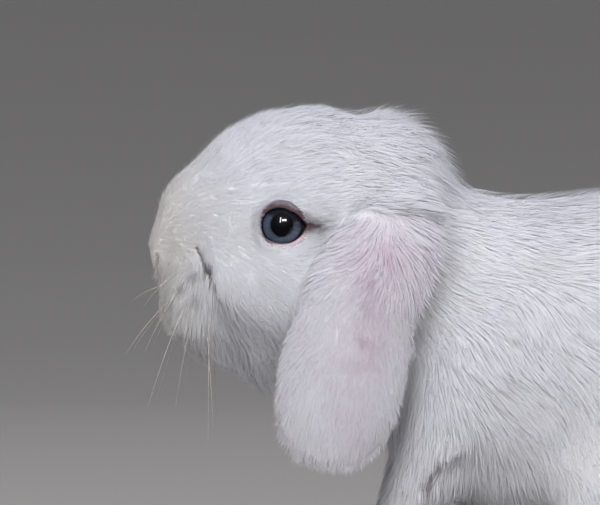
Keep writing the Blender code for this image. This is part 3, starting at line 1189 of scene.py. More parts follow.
@dataclass
class Skin:
    """One closed skin over all the flesh, inside it by the coat's depth."""

    frame: dict
    lie: LieTable
    marks: Markings
    opening: EyeOpening
    single: tuple[str, ...] = ("head", "neck", "trunk", "tail")
    paired: tuple[str, ...] = ("ear", "thigh", "foreleg", "forepaw", "hindfoot")
    beside_ears: tuple[str, ...] = ("head", "neck", "trunk", "foreleg_left", "foreleg_right")
    # how far each solid grows before they close to one, and the mesh of what they close to
    closing: float = 0.5
    voxel: float = 1.45
    smoothing: int = 8
    # how deep the skin lies, as a share of the coat's own height, and how much less on an ear
    depth: float = 0.75
    ear_thinner: float = 0.45
    # the ears lie beyond this x, before this y and above this z
    ear_zone: Triple = (10.0, 5.0, 34.0)
    # two rounds of finer faces: how far from the eyes, and from which y on the muzzle
    fine_rounds: tuple[tuple[float, float], ...] = ((17.0, -84.0), (10.5, -102.0))
    face_from: float = 10.0
    # where the skin comes out to the eyes' rims, as a share of the opening
    eye_zone: float = 2.4
    # how far off the ears' own faces are looked for
    hug_reach: float = 5.0
    # rounds of smoothing that melt the shoulders and hips, and where they do
    flow_turns: int = 70
    flow_above: Fade = (20.0, 45.0)
    flow_behind: Fade = (-44.0, -26.0)
    # the crown's fur sweeps back over the ears' roots at these heights
    crown: Fade = (109.5, 112.0)
    # the painted shade on the skin under the fur round the eyes ends here, as shares of the opening
    shadow_edge: Fade = (1.3, 1.9)
    lids: LidShape = LidShape()
    obj: bpy.types.Object | None = None
    arrays: dict = field(default_factory=dict)

    @property
    def flesh(self) -> list[str]:
        """The nodes that the skin replaces."""
        both = [f"{name}_{side.tag}" for name in self.paired for side in Side]
        return [*self.single, *both]

    def solid(self, name: str) -> bmesh.types.BMesh:
        """A merged copy of one solid in the scene's frame.

        Args:
            name: The solid's node.

        Returns:
            The copy, which the caller frees.
        """
        node = self.frame["nodes"][name]
        bm = bmesh.new()
        bm.from_mesh(node.data)
        bm.transform(node.matrix_world)
        bmesh.ops.remove_doubles(bm, verts=bm.verts, dist=0.00001)
        bm.normal_update()
        return bm

    def gather(self) -> bpy.types.Object:
        """Joins grown copies of the solids and closes them to one shell.

        Returns:
            The shell as an object.
        """
        whole = bmesh.new()
        for name in self.flesh:
            bm = self.solid(name)
            for vert in bm.verts:
                vert.co += vert.normal * self.closing * MM
            mesh = bpy.data.meshes.new("grown")
            bm.to_mesh(mesh)
            bm.free()
            whole.from_mesh(mesh)
            bpy.data.meshes.remove(mesh)
        shell = new_piece("skin", whole)
        remesh = shell.modifiers.new("close", "REMESH")
        remesh.mode = "VOXEL"
        remesh.voxel_size = self.voxel * MM
        smooth = shell.modifiers.new("smooth", "SMOOTH")
        smooth.factor = 0.5
        smooth.iterations = self.smoothing
        graph = bpy.context.evaluated_depsgraph_get()
        mesh = bpy.data.meshes.new_from_object(shell.evaluated_get(graph))
        shell.modifiers.clear()
        old, shell.data = shell.data, mesh
        bpy.data.meshes.remove(old)
        return shell

    def ear_share(self, points: np.ndarray) -> np.ndarray:
        """1 where the nearest solid is an ear and 0 elsewhere.

        Args:
            points: Places in millimetres.

        Returns:
            The shares.
        """
        trees = {}
        for name in ("ear_left", "ear_right", *self.beside_ears):
            bm = self.solid(name)
            trees[name] = BVHTree.FromBMesh(bm)
            bm.free()
        out, before, above = self.ear_zone
        close = (np.abs(points[:, 0]) > out) & (points[:, 1] < before) & (points[:, 2] > above)
        result = np.zeros(len(points))
        for index in np.flatnonzero(close):
            spot = Vector(points[index] * MM)
            ear = Side.LEFT if spot.x > 0 else Side.RIGHT
            ear_gap = trees[f"ear_{ear.tag}"].find_nearest(spot)[3]
            others = min(trees[name].find_nearest(spot)[3] for name in self.beside_ears)
            result[index] = float(ear_gap < others)
        return result

    def refine(self, shell: bpy.types.Object) -> None:
        """Halves the faces round the eyes and the muzzle, and again closer to them.

        Args:
            shell: The skin's object.
        """
        bm = bmesh.new()
        bm.from_mesh(shell.data)
        eye = Vector(self.opening.ball) * MM
        for reach, muzzle in self.fine_rounds:
            near = set()
            for vert in bm.verts:
                x, y, z = vert.co
                away = math.hypot(y - eye.y, z - eye.z)
                if (abs(x) > self.face_from * MM and away < reach * MM) or y < muzzle * MM:
                    near.add(vert)
            edges = [edge for edge in bm.edges if all(vert in near for vert in edge.verts)]
            bmesh.ops.subdivide_edges(bm, edges=edges, cuts=1, use_grid_fill=True)
        bmesh.ops.triangulate(bm, faces=bm.faces)
        bm.to_mesh(shell.data)
        bm.free()

    def links(self) -> tuple[np.ndarray, np.ndarray]:
        """The skin's edges.

        Returns:
            The numbers of the vertices at their two ends.
        """
        edges = np.empty(len(self.obj.data.edges) * 2, dtype=np.int64)
        self.obj.data.edges.foreach_get("vertices", edges)
        return edges[0::2], edges[1::2]

    def spread(self, values: np.ndarray, turns: int) -> np.ndarray:
        """Averages values with their neighbours over the skin.

        Args:
            values: One row for each vertex.
            turns: How many times.

        Returns:
            The smoothed values.
        """
        first, second = self.links()
        size = len(values)
        count = np.bincount(first, minlength=size) + np.bincount(second, minlength=size)
        columns = values.reshape(size, -1).astype(float)
        for _ in range(turns):
            sums = [
                np.bincount(first, column[second], size) + np.bincount(second, column[first], size)
                for column in columns.T
            ]
            columns = 0.5 * columns + 0.5 * np.column_stack(sums) / np.maximum(count, 1)[:, None]
        return columns.reshape(values.shape)

    def points(self) -> np.ndarray:
        """The places of the skin's vertices.

        Returns:
            One row for each vertex, in millimetres.
        """
        flat = np.empty(len(self.obj.data.vertices) * 3)
        self.obj.data.vertices.foreach_get("co", flat)
        return flat.reshape(-1, 3) / MM

    def normals(self) -> np.ndarray:
        """The directions in which the skin faces.

        Returns:
            One row for each vertex.
        """
        flat = np.empty(len(self.obj.data.vertices) * 3)
        self.obj.data.vertex_normals.foreach_get("vector", flat)
        return flat.reshape(-1, 3)

    def put(self, points: np.ndarray) -> None:
        """Moves the skin's vertices to points in millimetres."""
        self.obj.data.vertices.foreach_set("co", (points * MM).ravel())
        self.obj.data.update()

    def sink(self, ears: np.ndarray) -> None:
        """Moves the skin in by the coat's depth.

        Args:
            ears: How far each vertex belongs to an ear.
        """
        points = self.points()
        _, length, lift = self.lie.read(points, ears)
        depth = length * np.sin(lift) * self.depth * (1 - self.ear_thinner * ears)
        near = self.opening.distance(mirrored(points))[0]
        beside = (np.abs(points[:, 0]) > SIDE_FROM) & (near < self.eye_zone)
        depth = np.where(beside, depth * step(near, 0.6, self.eye_zone), depth)
        depth = self.spread(depth + self.closing * (1 - ears), 12)
        normals = unit(self.spread(self.normals(), 4))
        self.put(points - normals * depth[:, None])

    def hug(self, ears: np.ndarray) -> None:
        """Draws the ears' skin out again to the solids' faces, edges and all.

        Args:
            ears: How far each vertex belongs to an ear.
        """
        points, normals = self.points(), self.normals()
        trees = {}
        for side in Side:
            bm = self.solid(f"ear_{side.tag}")
            trees[side] = BVHTree.FromBMesh(bm)
            bm.free()
        offset = np.zeros(len(points))
        for index in np.flatnonzero(ears > 0.5):
            spot, facing = Vector(points[index] * MM), Vector(normals[index])
            tree = trees[Side.LEFT if spot.x > 0 else Side.RIGHT]
            for sign in (1, -1):
                hit = tree.ray_cast(spot, facing * sign, self.hug_reach * MM)
                if hit[0] is not None and hit[1].dot(facing) > 0:
                    offset[index] = sign * hit[3] / MM
                    break
        offset = self.spread(offset * step(ears, 0.5, 0.95), 3)
        self.put(points + normals * offset[:, None])

    def ease(self, ears: np.ndarray) -> None:
        """Melts the shoulders and hips into the body, where long fur hides them.

        Args:
            ears: How far each vertex belongs to an ear.
        """
        points = self.points()
        flowing = self.spread(points, self.flow_turns)
        share = step(points[:, 2], *self.flow_above) * step(points[:, 1], *self.flow_behind)
        share = share * (1 - step(ears, 0, 0.1))
        share = self.spread(share, 12)[:, None]
        self.put(points + (flowing - points) * share)

    def shape_lids(self) -> np.ndarray:
        """Wraps the face round the eyeballs as two thin lids.

        Returns:
            How dark, how near the edge, and how pink the lid is at each vertex.
        """
        form, points = self.lids, self.points()
        folded = mirrored(points)
        far, turn = self.opening.distance(folded)
        beside = (folded[:, 0] > SIDE_FROM) & (far < form.reach)
        upper = step(np.sin(turn), *form.upper)
        inner = self.opening.ball_face(folded, form.tuck)
        at_rim = folded.copy()
        middle = np.array(self.opening.centre)
        at_rim[:, 1:] = middle + (folded[:, 1:] - middle) / np.maximum(far, 0.05)[:, None]
        rim = self.opening.ball_face(at_rim, form.lower_gap + form.upper_gap * upper)
        start, end = form.face
        outer = rim + (folded[:, 0] - rim) * step(far, start + form.face_upper * upper, end)
        # the face never comes nearer to the ball than the clear gap, and melts into it
        ball = self.opening.ball_face(folded, form.clear)
        melt = form.melt[0] + form.melt[1] * step(far, *form.melt_zone)
        outer = ball + 0.5 * (outer - ball + np.sqrt((outer - ball) ** 2 + melt**2))
        ridge = form.ridge.shade(far) * upper
        placed = inner + (outer + ridge - inner) * step(far, *form.rim)
        sign = np.where(points[:, 0] < 0, -1, 1)
        points[:, 0] = np.where(beside, placed * sign, points[:, 0])
        self.put(points)
        return self.tint_lids(far, turn, upper) * beside[:, None]

    def tint_lids(self, far: np.ndarray, turn: np.ndarray, upper: np.ndarray) -> np.ndarray:
        """The lids' colours.

        Args:
            far: Distances as shares of the opening.
            turn: Angles in radians from the back corner.
            upper: How far each place belongs to the upper lid.

        Returns:
            How dark, how near the edge, and how pink the lid is at each place.
        """
        form = self.lids
        front = step(-np.cos(turn), *form.front)
        bearing = np.degrees(np.where(turn > math.pi, turn - 2 * math.pi, turn))
        corner = bell(bearing - form.corner[0], form.corner[1])
        shade = np.maximum(np.maximum(upper, form.front_shade * front), corner)
        start, end = (low + more * shade for low, more in zip(form.dark, form.dark_more))
        lid = (1 - step(far, start, end)) * (form.least_dark + (1 - form.least_dark) * shade)
        edge = 1 - step(far, *form.edge)
        behind = bell(bearing - form.flush_from[0], form.flush_from[1])
        least, more = form.flush_share
        flush = form.flush.shade(far) * (1 - upper) * (least + more * behind) * (1 - corner)
        return np.column_stack([lid, edge, flush])

    def cut_folds(self) -> None:
        """Presses the muzzle's folds and the one behind the shoulder's fringe into the skin."""
        points = self.points()
        folded = mirrored(points)
        normals = self.normals()
        marks = self.marks
        press = marks.crease.press(folded)
        press += marks.corner_fold * bell(marks.spot(folded), 1.0)
        press += marks.lip.press(folded)
        under, depth = marks.under_arm(folded)
        behind = np.exp(-np.maximum(under, 0) / 5)
        press += marks.elbow_fold * depth * step(under, -0.6, 0.8) * behind
        for line in (marks.nostril, marks.cleft, marks.mouth):
            press += line.press(folded)
        self.put(points - normals * press[:, None])

    def unwrap(self) -> None:
        """Unwraps the skin by its own shape."""
        bpy.context.view_layer.objects.active = self.obj
        self.obj.select_set(True)
        self.obj.data.uv_layers.new(name=BAKE_MAP)
        bpy.ops.object.mode_set(mode="EDIT")
        bpy.ops.mesh.select_all(action="SELECT")
        bpy.ops.uv.smart_project(angle_limit=math.radians(66), island_margin=0.003)
        bpy.ops.object.mode_set(mode="OBJECT")
        self.obj.select_set(False)

    def build(self) -> bpy.types.Object:
        """Makes the skin, dresses it, and keeps what the coat needs.

        Returns:
            The skin.
        """
        self.obj = self.gather()
        self.refine(self.obj)
        ears = self.spread(self.ear_share(self.points()), 10)
        self.hug(ears)
        self.sink(ears)
        self.put(self.spread(self.points(), 2))
        self.ease(ears)
        self.cut_folds()
        lids = self.shape_lids()
        self.unwrap()
        points = self.points()
        mesh = self.obj.data
        note(mesh, "marks", self.marks.read(points, ears))
        note(mesh, "lids", lids)
        near = self.opening.distance(mirrored(points))[0]
        note(mesh, "shadow", (np.abs(points[:, 0]) > SIDE_FROM) * (1 - step(near, *self.shadow_edge)))
        mesh.polygons.foreach_set("use_smooth", [True] * len(mesh.polygons))
        settle(self.obj, SkinFinish().build(), "coat")
        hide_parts(*self.flesh)
        ears = ears * (1 - step(points[:, 2], *self.crown))
        self.arrays = {"points": points, "normals": self.normals(), "ears": ears}
        return self.obj


# ---------------------------------------------------------------- coat


@dataclass
class Coat:
    """Fine closed locks rooted in the skin, lying along the body."""

    skin: Skin
    lie: LieTable
    marks: Markings
    opening: EyeOpening
    long_locks: int = 118000
    short_locks: int = 196000
    # the most locks of each kind in a piece
    long_band: int = 32000
    short_band: int = 48000
    # lengths over which the short locks give way to long ones
    blend: Fade = (4.8, 7.2)
    # how near the eye the coat starts: below it, and further out above it and before it
    eye_rim: Triple = (1.08, 0.13, 0.05)
    eye_rim_edge: float = 0.06
    # how much denser it is there, and up to where
    eye_crowd: float = 2.2
    eye_crowd_zone: Fade = (1.3, 2.2)
    # where the locks grow to their full length, and the gap that they leave to the eye
    eye_zone: Fade = (1.1, 2.2)
    eye_gap: float = 1.04
    least_lock: float = 0.25
    # millimetres from each fold over which the coat thins out
    crease_edge: Fade = (0.05, 0.3)
    corner_edge: Fade = (0.7, 1.1)
    nostril_edge: Fade = (0.3, 0.8)
    # how bare the fold behind the shoulder's fringe is, from its edge to where it ends
    elbow_bare: float = 0.85
    elbow_from: Fade = (0.0, 0.5)
    elbow_to: Fade = (1.0, 2.0)
    # a lock's width, and how much it grows with its length
    thinnest: float = 0.21
    widens: float = 0.0155
    # a lock's cross-section, in half-widths: across the lie, and away from the body
    corners: tuple[tuple[float, float], ...] = ((0.0, -0.3), (1.0, 0.12), (-1.0, 0.12))
    # how far a lock's cross-section rolls at random, in radians
    roll: float = 0.4
    # the lengths of a lock's two parts as shares, and how its lift changes over them
    lower: float = 0.4
    lower_lift: float = 1.35
    upper_lift: float = 0.55
    steepest: float = 1.2
    # how deep a lock starts in the skin, and how much a long one sags
    root_depth: float = 0.12
    sag: float = 0.05
    # locks that share a clump, and how far their tips are drawn together
    clump: int = 14
    draw: tuple[float, float] = (0.04, 0.28)
    # angles by which the lie wanders: slowly, quickly and from lock to lock
    wander: Triple = (0.20, 0.13, 0.22)
    # the lengths in millimetres over which it does, and over which the lift varies
    wander_slow: float = 19.0
    wander_quick: float = 7.0
    lift_length: float = 11.0
    # lengths as shares of the lie's: the shortest, and how much longer the longest are
    lengths: tuple[float, float] = (0.76, 0.42)
    # the shoulder's fringe: its top, and the shortest lock that it cuts
    fringe_top: float = 56.0
    fringe_least: float = 3.0
    # where the trunk begins, and the fringes under the jaw, on the nape and on the back
    trunk_from: Fade = (-40.0, -15.0)
    jaw_below: Fade = (-86.0, -78.0)
    jaw_ahead: Fade = (58.0, 66.0)
    nape_above: Fade = (108.0, 122.0)
    nape_behind: Fade = (-52.0, -38.0)
    back_up: Fade = (0.55, 0.95)
    back_share: float = 0.7
    # the share of locks that stand proud, and how many more do on a fringe
    proud: float = 0.08
    proud_fringe: float = 0.13
    # degrees by which proud locks stand up: anywhere, on a fringe, and on the nape
    spring: Triple = (20.0, 14.0, 8.0)
    fringe_lift: float = 6.0
    # the least height of a lock above the floor
    floor_gap: float = 0.3
    # a lock's patch on the bake map: its half-width, its corners' drop and its half-height
    patch: Triple = (0.0013, 0.0006, 0.0015)
    seed: int = 41

    def roots(self) -> dict:
        """Scatters the locks' roots over the skin, thicker where the coat is finer.

        Returns:
            Arrays of one row for each root, with short marking the shorter locks.
        """
        chance = np.random.default_rng(self.seed)
        mesh = self.skin.obj.data
        mesh.calc_loop_triangles()
        corners = np.empty(len(mesh.loop_triangles) * 3, dtype=np.int64)
        loops = np.empty(len(mesh.loop_triangles) * 3, dtype=np.int64)
        mesh.loop_triangles.foreach_get("vertices", corners)
        mesh.loop_triangles.foreach_get("loops", loops)
        corners, loops = corners.reshape(-1, 3), loops.reshape(-1, 3)
        flat = np.empty(len(mesh.loops) * 2)
        mesh.uv_layers[BAKE_MAP].data.foreach_get("uv", flat)
        flat = flat.reshape(-1, 2)
        points, ears = self.skin.arrays["points"], self.skin.arrays["ears"]
        first, second, third = (points[corners[:, index]] for index in range(3))
        area = 0.5 * np.linalg.norm(np.cross(second - first, third - first), axis=1)
        middle = (first + second + third) / 3
        _, length, _ = self.lie.read(middle, ears[corners].mean(1))
        want = area / (length * self.width(length)) ** 0.8 * self.bare(middle)
        long = chance.random(len(length)) < step(length, *self.blend)
        counts = {True: self.long_locks, False: self.short_locks}
        picks = np.concatenate(
            [
                chance.choice(len(area), size=count, p=want * (long == kind) / want[long == kind].sum())
                for kind, count in counts.items()
            ]
        )
        total = len(picks)
        one, two = chance.random((2, total))
        fold = one + two > 1
        one[fold], two[fold] = 1 - one[fold], 1 - two[fold]
        share = np.column_stack([1 - one - two, one, two])

        def across(values: np.ndarray) -> np.ndarray:
            """Reads a value of the corners at each root.

            Args:
                values: One row for each vertex of the skin.

            Returns:
                One row for each root.
            """
            spread = values[corners[picks]]
            weight = share[:, :, None] if spread.ndim == 3 else share
            return (spread * weight).sum(1)

        return {
            "points": across(points),
            "normals": unit(across(self.skin.arrays["normals"])),
            "ears": across(ears),
            "uv": (flat[loops[picks]] * share[:, :, None]).sum(1),
            "short": ~long[picks],
            "chance": chance.random((total, 6)),
        }

    def width(self, length: np.ndarray) -> np.ndarray:
        """A lock's width for its length, in millimetres."""
        return self.thinnest + self.widens * length

    def bare(self, points: np.ndarray) -> np.ndarray:
        """How densely the coat grows at places: not at all on the lids and in the folds.

        Args:
            points: Places in millimetres.

        Returns:
            Shares of the usual density, above 1 round the eyes.
        """
        marks, folded = self.marks, mirrored(points)
        near, turn = self.opening.distance(folded)
        below, above, before = self.eye_rim
        over = step(np.sin(turn), 0.0, 0.6)
        rim = below + above * over + before * step(-np.cos(turn), 0.2, 0.8)
        crowd = 1 + self.eye_crowd * (1 - step(near, *self.eye_crowd_zone))
        edge = step(near - rim, 0.0, self.eye_rim_edge)
        grown = np.where(folded[:, 0] > SIDE_FROM, crowd * edge, 1.0)
        grown *= step(marks.crease.distance(folded), *self.crease_edge)
        grown *= step(marks.spot(folded), *self.corner_edge)
        under, depth = marks.under_arm(folded)
        fold = self.elbow_bare * depth * step(under, *self.elbow_from)
        grown *= 1 - fold * (1 - step(under, *self.elbow_to))
        for line in (marks.nostril, marks.cleft):
            grown *= step(line.distance(folded), *self.nostril_edge)
        return grown * (1 - marks.nose(folded))

    def comb(self, root: dict) -> dict:
        """Gives each root its direction, length, width and lift.

        Args:
            root: What roots() gave.

        Returns:
            Arrays of one row for each root.
        """
        points, normals, chance = root["points"], root["normals"], root["chance"]
        folded = mirrored(points)
        way, length, lift = self.lie.read(points, root["ears"])
        way = self.sway(flattened(way, normals), length, root)
        near, turn = self.opening.distance(folded)
        around = np.where(folded[:, 0] > SIDE_FROM, step(near, *self.eye_zone), 1.0)
        outward = np.column_stack([np.zeros(len(points)), np.cos(turn), np.sin(turn)])
        inward = np.minimum((way * outward).sum(1), 0)
        way = unit(way - outward * (inward * (1 - step(around, 0.0, 0.8)))[:, None])
        way = flattened(way, normals)
        least, more = self.lengths
        length = length * (least + more * chance[:, 1]) * (0.5 + 0.5 * around)
        to_eye = -(way * outward).sum(1) * (around < 1)
        room = np.maximum((near - self.eye_gap) * self.opening.rim[0][1], self.least_lock)
        length = np.minimum(length, room / np.maximum(to_eye, 1e-3))
        length = self.trim(length, way, folded, chance[:, 0])
        length, lift, proud = self.stand(root, length, lift, around)
        return {
            "way": way,
            "length": length,
            "lift": lift,
            "width": self.width(length) * (0.75 + 0.5 * chance[:, 3]) * (1 - 0.5 * proud),
        }

    def sway(self, way: np.ndarray, length: np.ndarray, root: dict) -> np.ndarray:
        """Lets the lie wander a little to both sides.

        Args:
            way: The locks' directions on the skin.
            length: The locks' lengths in millimetres.
            root: What roots() gave.

        Returns:
            The new directions.
        """
        slow, quick, loose = self.wander
        points, side = root["points"], np.cross(root["normals"], way)
        sway = slow * waves(points, self.wander_slow, 1) + quick * waves(points, self.wander_quick, 2)
        sway += loose * (root["chance"][:, 0] - 0.5)
        sway *= 0.45 + 0.55 * step(length, 2.5, 7.0)
        return way * np.cos(sway)[:, None] + side * np.sin(sway)[:, None]

    def trim(
        self, length: np.ndarray, way: np.ndarray, folded: np.ndarray, chance: np.ndarray
    ) -> np.ndarray:
        """Shortens the locks that would cross the mouth's crease or the fringe's edge.

        Args:
            length: The locks' lengths in millimetres.
            way: Their directions.
            folded: Their roots, folded to the left side.
            chance: A random number from 0 to 1 for each.

        Returns:
            The new lengths.
        """
        marks = self.marks
        length = np.minimum(length, marks.crease.room(folded, way))
        room = np.maximum(marks.elbow.room(folded, way) * (0.8 + 0.9 * chance), self.fringe_least)
        fringed = (folded[:, 2] < self.fringe_top) & (marks.under_arm(folded)[0] < 0)
        return np.where(fringed, np.minimum(length, room), length)

    def stand(
        self, root: dict, length: np.ndarray, lift: np.ndarray, around: np.ndarray
    ) -> tuple[np.ndarray, ...]:
        """Lifts the locks unevenly, most of all under the jaw, on the nape and the back.

        Args:
            root: What roots() gave.
            length: The locks' lengths in millimetres.
            lift: Their lifts in radians.
            around: 0 at the eye, 1 well away from it.

        Returns:
            The new lengths and lifts, and which locks stand proud.
        """
        points, chance = root["points"], root["chance"][:, 2]
        trunk = step(points[:, 1], *self.trunk_from)
        jaw = step(-points[:, 2], *self.jaw_below) * step(-points[:, 1], *self.jaw_ahead)
        nape = step(points[:, 2], *self.nape_above) * step(points[:, 1], *self.nape_behind)
        nape = nape * (1 - trunk)
        back = self.back_share * step(root["normals"][:, 2], *self.back_up) * trunk
        fringe = np.maximum(np.maximum(jaw, nape), back)
        proud = chance > 1 - self.proud - self.proud_fringe * fringe
        uneven = (0.14 - 0.07 * trunk) * waves(points, self.lift_length, 3)
        lift = lift * (0.85 + 0.25 * chance) * (1 + uneven)
        lift = lift * (1 - 0.2 * trunk) + math.radians(self.fringe_lift) * fringe
        anywhere, on_fringe, on_nape = self.spring
        spring = np.radians(anywhere * (1 - 0.75 * trunk) + on_fringe * fringe + on_nape * nape)
        length = length * (1 + 0.2 * nape * proud)
        lift = lift + spring * proud * step(around, 0.3, 1.0) * step(length, 1.8, 3.5)
        return length, lift, proud

    def trace(self, root: dict, comb: dict) -> tuple[np.ndarray, ...]:
        """Every lock's path, its tip gathered a little into a clump.

        Args:
            root: What roots() gave.
            comb: What comb() gave.

        Returns:
            The starts, the middles and the tips in millimetres, above the floor.
        """
        way, normals = comb["way"], root["normals"]
        length, lift = comb["length"][:, None], comb["lift"][:, None]
        rise = np.minimum(lift * self.lower_lift, self.steepest)
        lay = lift * self.upper_lift
        start = root["points"] - normals * self.root_depth
        middle = start + (way * np.cos(rise) + normals * np.sin(rise)) * length * self.lower
        upper = 1 - self.lower
        tip = middle + (way * np.cos(lay) + normals * np.sin(lay)) * length * upper
        tip = tip + np.array((0, 0, -1.0)) * self.sag * length * step(length, 5, 9)
        chance = np.random.default_rng(self.seed + 1)
        heads = chance.choice(len(tip), size=len(tip) // self.clump, replace=False)
        tree = KDTree(len(heads))
        for index, place in enumerate(start[heads]):
            tree.insert(place, index)
        tree.balance()
        nearest = np.fromiter((tree.find(place)[1] for place in start), np.int64, len(start))
        goal = tip[heads][nearest]
        least, more = self.draw
        pull = (least + more * root["chance"][:, 4])[:, None] * step(length, 1.5, 6.0)
        pull = pull * (1 - 0.8 * step(start[:, 1:2], *self.trunk_from))
        same = np.linalg.norm(goal - tip, axis=1)[:, None] < 0.8 * length
        tip = tip + (goal - tip) * pull * same
        for path in (start, middle, tip):
            path[:, 2] = np.maximum(path[:, 2], self.floor_gap)
        return start, middle, tip

    def lock_mesh(self, name: str, parts: dict, picks: np.ndarray) -> bpy.types.Object:
        """Joins some of the locks, all long or all short, into one piece.

        A short lock is a three-sided spike, and a long one a three-sided spindle that
        bends at its widest ring.

        Args:
            name: The piece's name.
            parts: Every lock's arrays.
            picks: The locks of this piece.

        Returns:
            The piece.
        """
        short = bool(parts["short"][picks[0]])
        start, middle, tip = (parts[key][picks] for key in ("start", "middle", "tip"))
        normals = parts["normals"][picks]
        axis = unit(tip - start)
        flat = unit(np.cross(axis, normals))
        stand = np.cross(flat, axis)
        half = parts["width"][picks][:, None] * 0.5
        roll = (parts["chance"][picks][:, None] - 0.5) * self.roll
        flat, stand = (
            flat * np.cos(roll) + stand * np.sin(roll),
            stand * np.cos(roll) - flat * np.sin(roll),
        )
        base = start if short else middle
        rows = [base + (flat * wide + stand * high) * half for wide, high in self.corners]
        rows.append(tip)
        along = [0.15 if short else 0.45] * 3 + [1.0]
        form = [(0, 1, 2), (3, 1, 0), (3, 2, 1), (3, 0, 2)]
        wide, drop, tall = self.patch
        patch = [(0, 0.0), (-wide, -drop), (wide, -drop), (0, tall)]
        broad = [2]
        if not short:
            rows.append(start)
            along.append(0.0)
            form = [(4, 0, 1), (4, 1, 2), (4, 2, 0), *form[1:]]
            patch.append((0, -tall))
            broad = [1, 4]
        count, size = len(picks), len(rows)
        places = np.stack(rows, axis=1)
        corner = places[:, np.array(form)]
        facing = unit(np.cross(corner[:, :, 1] - corner[:, :, 0], corner[:, :, 2] - corner[:, :, 0]))
        # the broad faces are lit mostly as the skin is, so that locks melt together
        facing[:, broad] = unit(facing[:, broad] * 0.25 + normals[:, None] * 0.75)
        faces = (np.array(form) + size * np.arange(count)[:, None, None]).reshape(-1)
        mesh = bpy.data.meshes.new(name)
        mesh.vertices.add(size * count)
        mesh.loops.add(len(faces))
        mesh.polygons.add(len(faces) // 3)
        mesh.vertices.foreach_set("co", (places * MM).ravel())
        mesh.loops.foreach_set("vertex_index", faces)
        mesh.polygons.foreach_set("loop_start", np.arange(0, len(faces), 3))
        mesh.polygons.foreach_set("use_smooth", np.ones(len(faces) // 3, dtype=bool))
        mesh.update(calc_edges=True)
        spots = (parts["uv"][picks][:, None, :] + np.array(patch)[None]).reshape(-1, 2)
        layer = mesh.uv_layers.new(name=BAKE_MAP)
        layer.data.foreach_set("uv", spots[faces].ravel())
        note(mesh, "along", np.tile(along, count))
        note(mesh, "chance", np.repeat(parts["chance"][picks], size))
        note(mesh, "marks", np.repeat(parts["marks"][picks], size, axis=0))
        mesh.normals_split_custom_set(np.repeat(facing[:, :, None], 3, axis=2).reshape(-1, 3))
        made = bpy.data.objects.new(name, mesh)
        bpy.context.scene.collection.objects.link(made)
        return made

    def build(self) -> list[bpy.types.Object]:
        """Makes the whole coat in bands from the nose to the tail.

        Returns:
            The coat's pieces.
        """
        root = self.roots()
        comb = self.comb(root)
        start, middle, tip = self.trace(root, comb)
        parts = {
            "start": start,
            "middle": middle,
            "tip": tip,
            "normals": root["normals"],
            "width": comb["width"],
            "uv": root["uv"],
            "chance": root["chance"][:, 5],
            "short": root["short"],
            "marks": self.marks.read(root["points"], root["ears"]),
        }
        finish = CoatFinish().build()
        ears, short = root["ears"] > 0.5, root["short"]
        left = root["points"][:, 0] > 0
        order = np.argsort(root["points"][:, 1], kind="stable")
        groups = {
            "coat_ear_left": ears & left & short,
            "coat_ear_right": ears & ~left & short,
            "coat_short": ~ears & short,
            "coat_long": ~short,
        }
        bands = {}
        for name, members in groups.items():
            chosen = order[members[order]]
            most = self.short_band if short[chosen[0]] else self.long_band
            shares = np.array_split(chosen, math.ceil(len(chosen) / most))
            for index, picks in enumerate(shares):
                bands[f"{name}_{index + 1}"] = picks
        made = []
        for name, picks in bands.items():
            piece = self.lock_mesh(name, parts, picks)
            settle(piece, finish, "ear_coat" if "ear" in name else "coat")
            LOG.info("%s: %d locks", name, len(picks))
            made.append(piece)
        return made


# ---------------------------------------------------------------- eyes


@dataclass
class Eye:
    """One wet eyeball with a raised cornea."""

    side: Side
    opening: EyeOpening
    # the cornea's reach from the middle of the eye and its height
    cornea: float = 4.6
    bulge: float = 0.55
    segments: tuple[int, int] = (64, 48)

    def build(self) -> bpy.types.Object:
        """Makes the eyeball in its place.

        Returns:
            The eyeball.
        """
        bm = bmesh.new()
        turn = Matrix.Rotation(math.radians(90), 4, "Y")
        across, along = self.segments
        bmesh.ops.create_uvsphere(
            bm, u_segments=across, v_segments=along, radius=self.opening.radius, matrix=turn
        )
        for vert in bm.verts:
            off = math.hypot(vert.co.y, vert.co.z) / self.cornea
            if vert.co.x > 0 and off < 1:
                vert.co.x += self.bulge * (1 - off * off) ** 1.5
        centre = Vector(self.opening.ball)
        for vert in bm.verts:
            vert.co = (vert.co + centre) * MM
            vert.co.x *= self.side.value
        if self.side is Side.RIGHT:
            bmesh.ops.reverse_faces(bm, faces=bm.faces)
        for face in bm.faces:
            face.smooth = True
        made = new_piece(f"eyeball_{self.side.tag}", bm)
        settle(made, EyeFinish().build(), "eye")
        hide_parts(f"eye_{self.side.tag}")
        return made


# ---------------------------------------------------------------- whiskers and claws


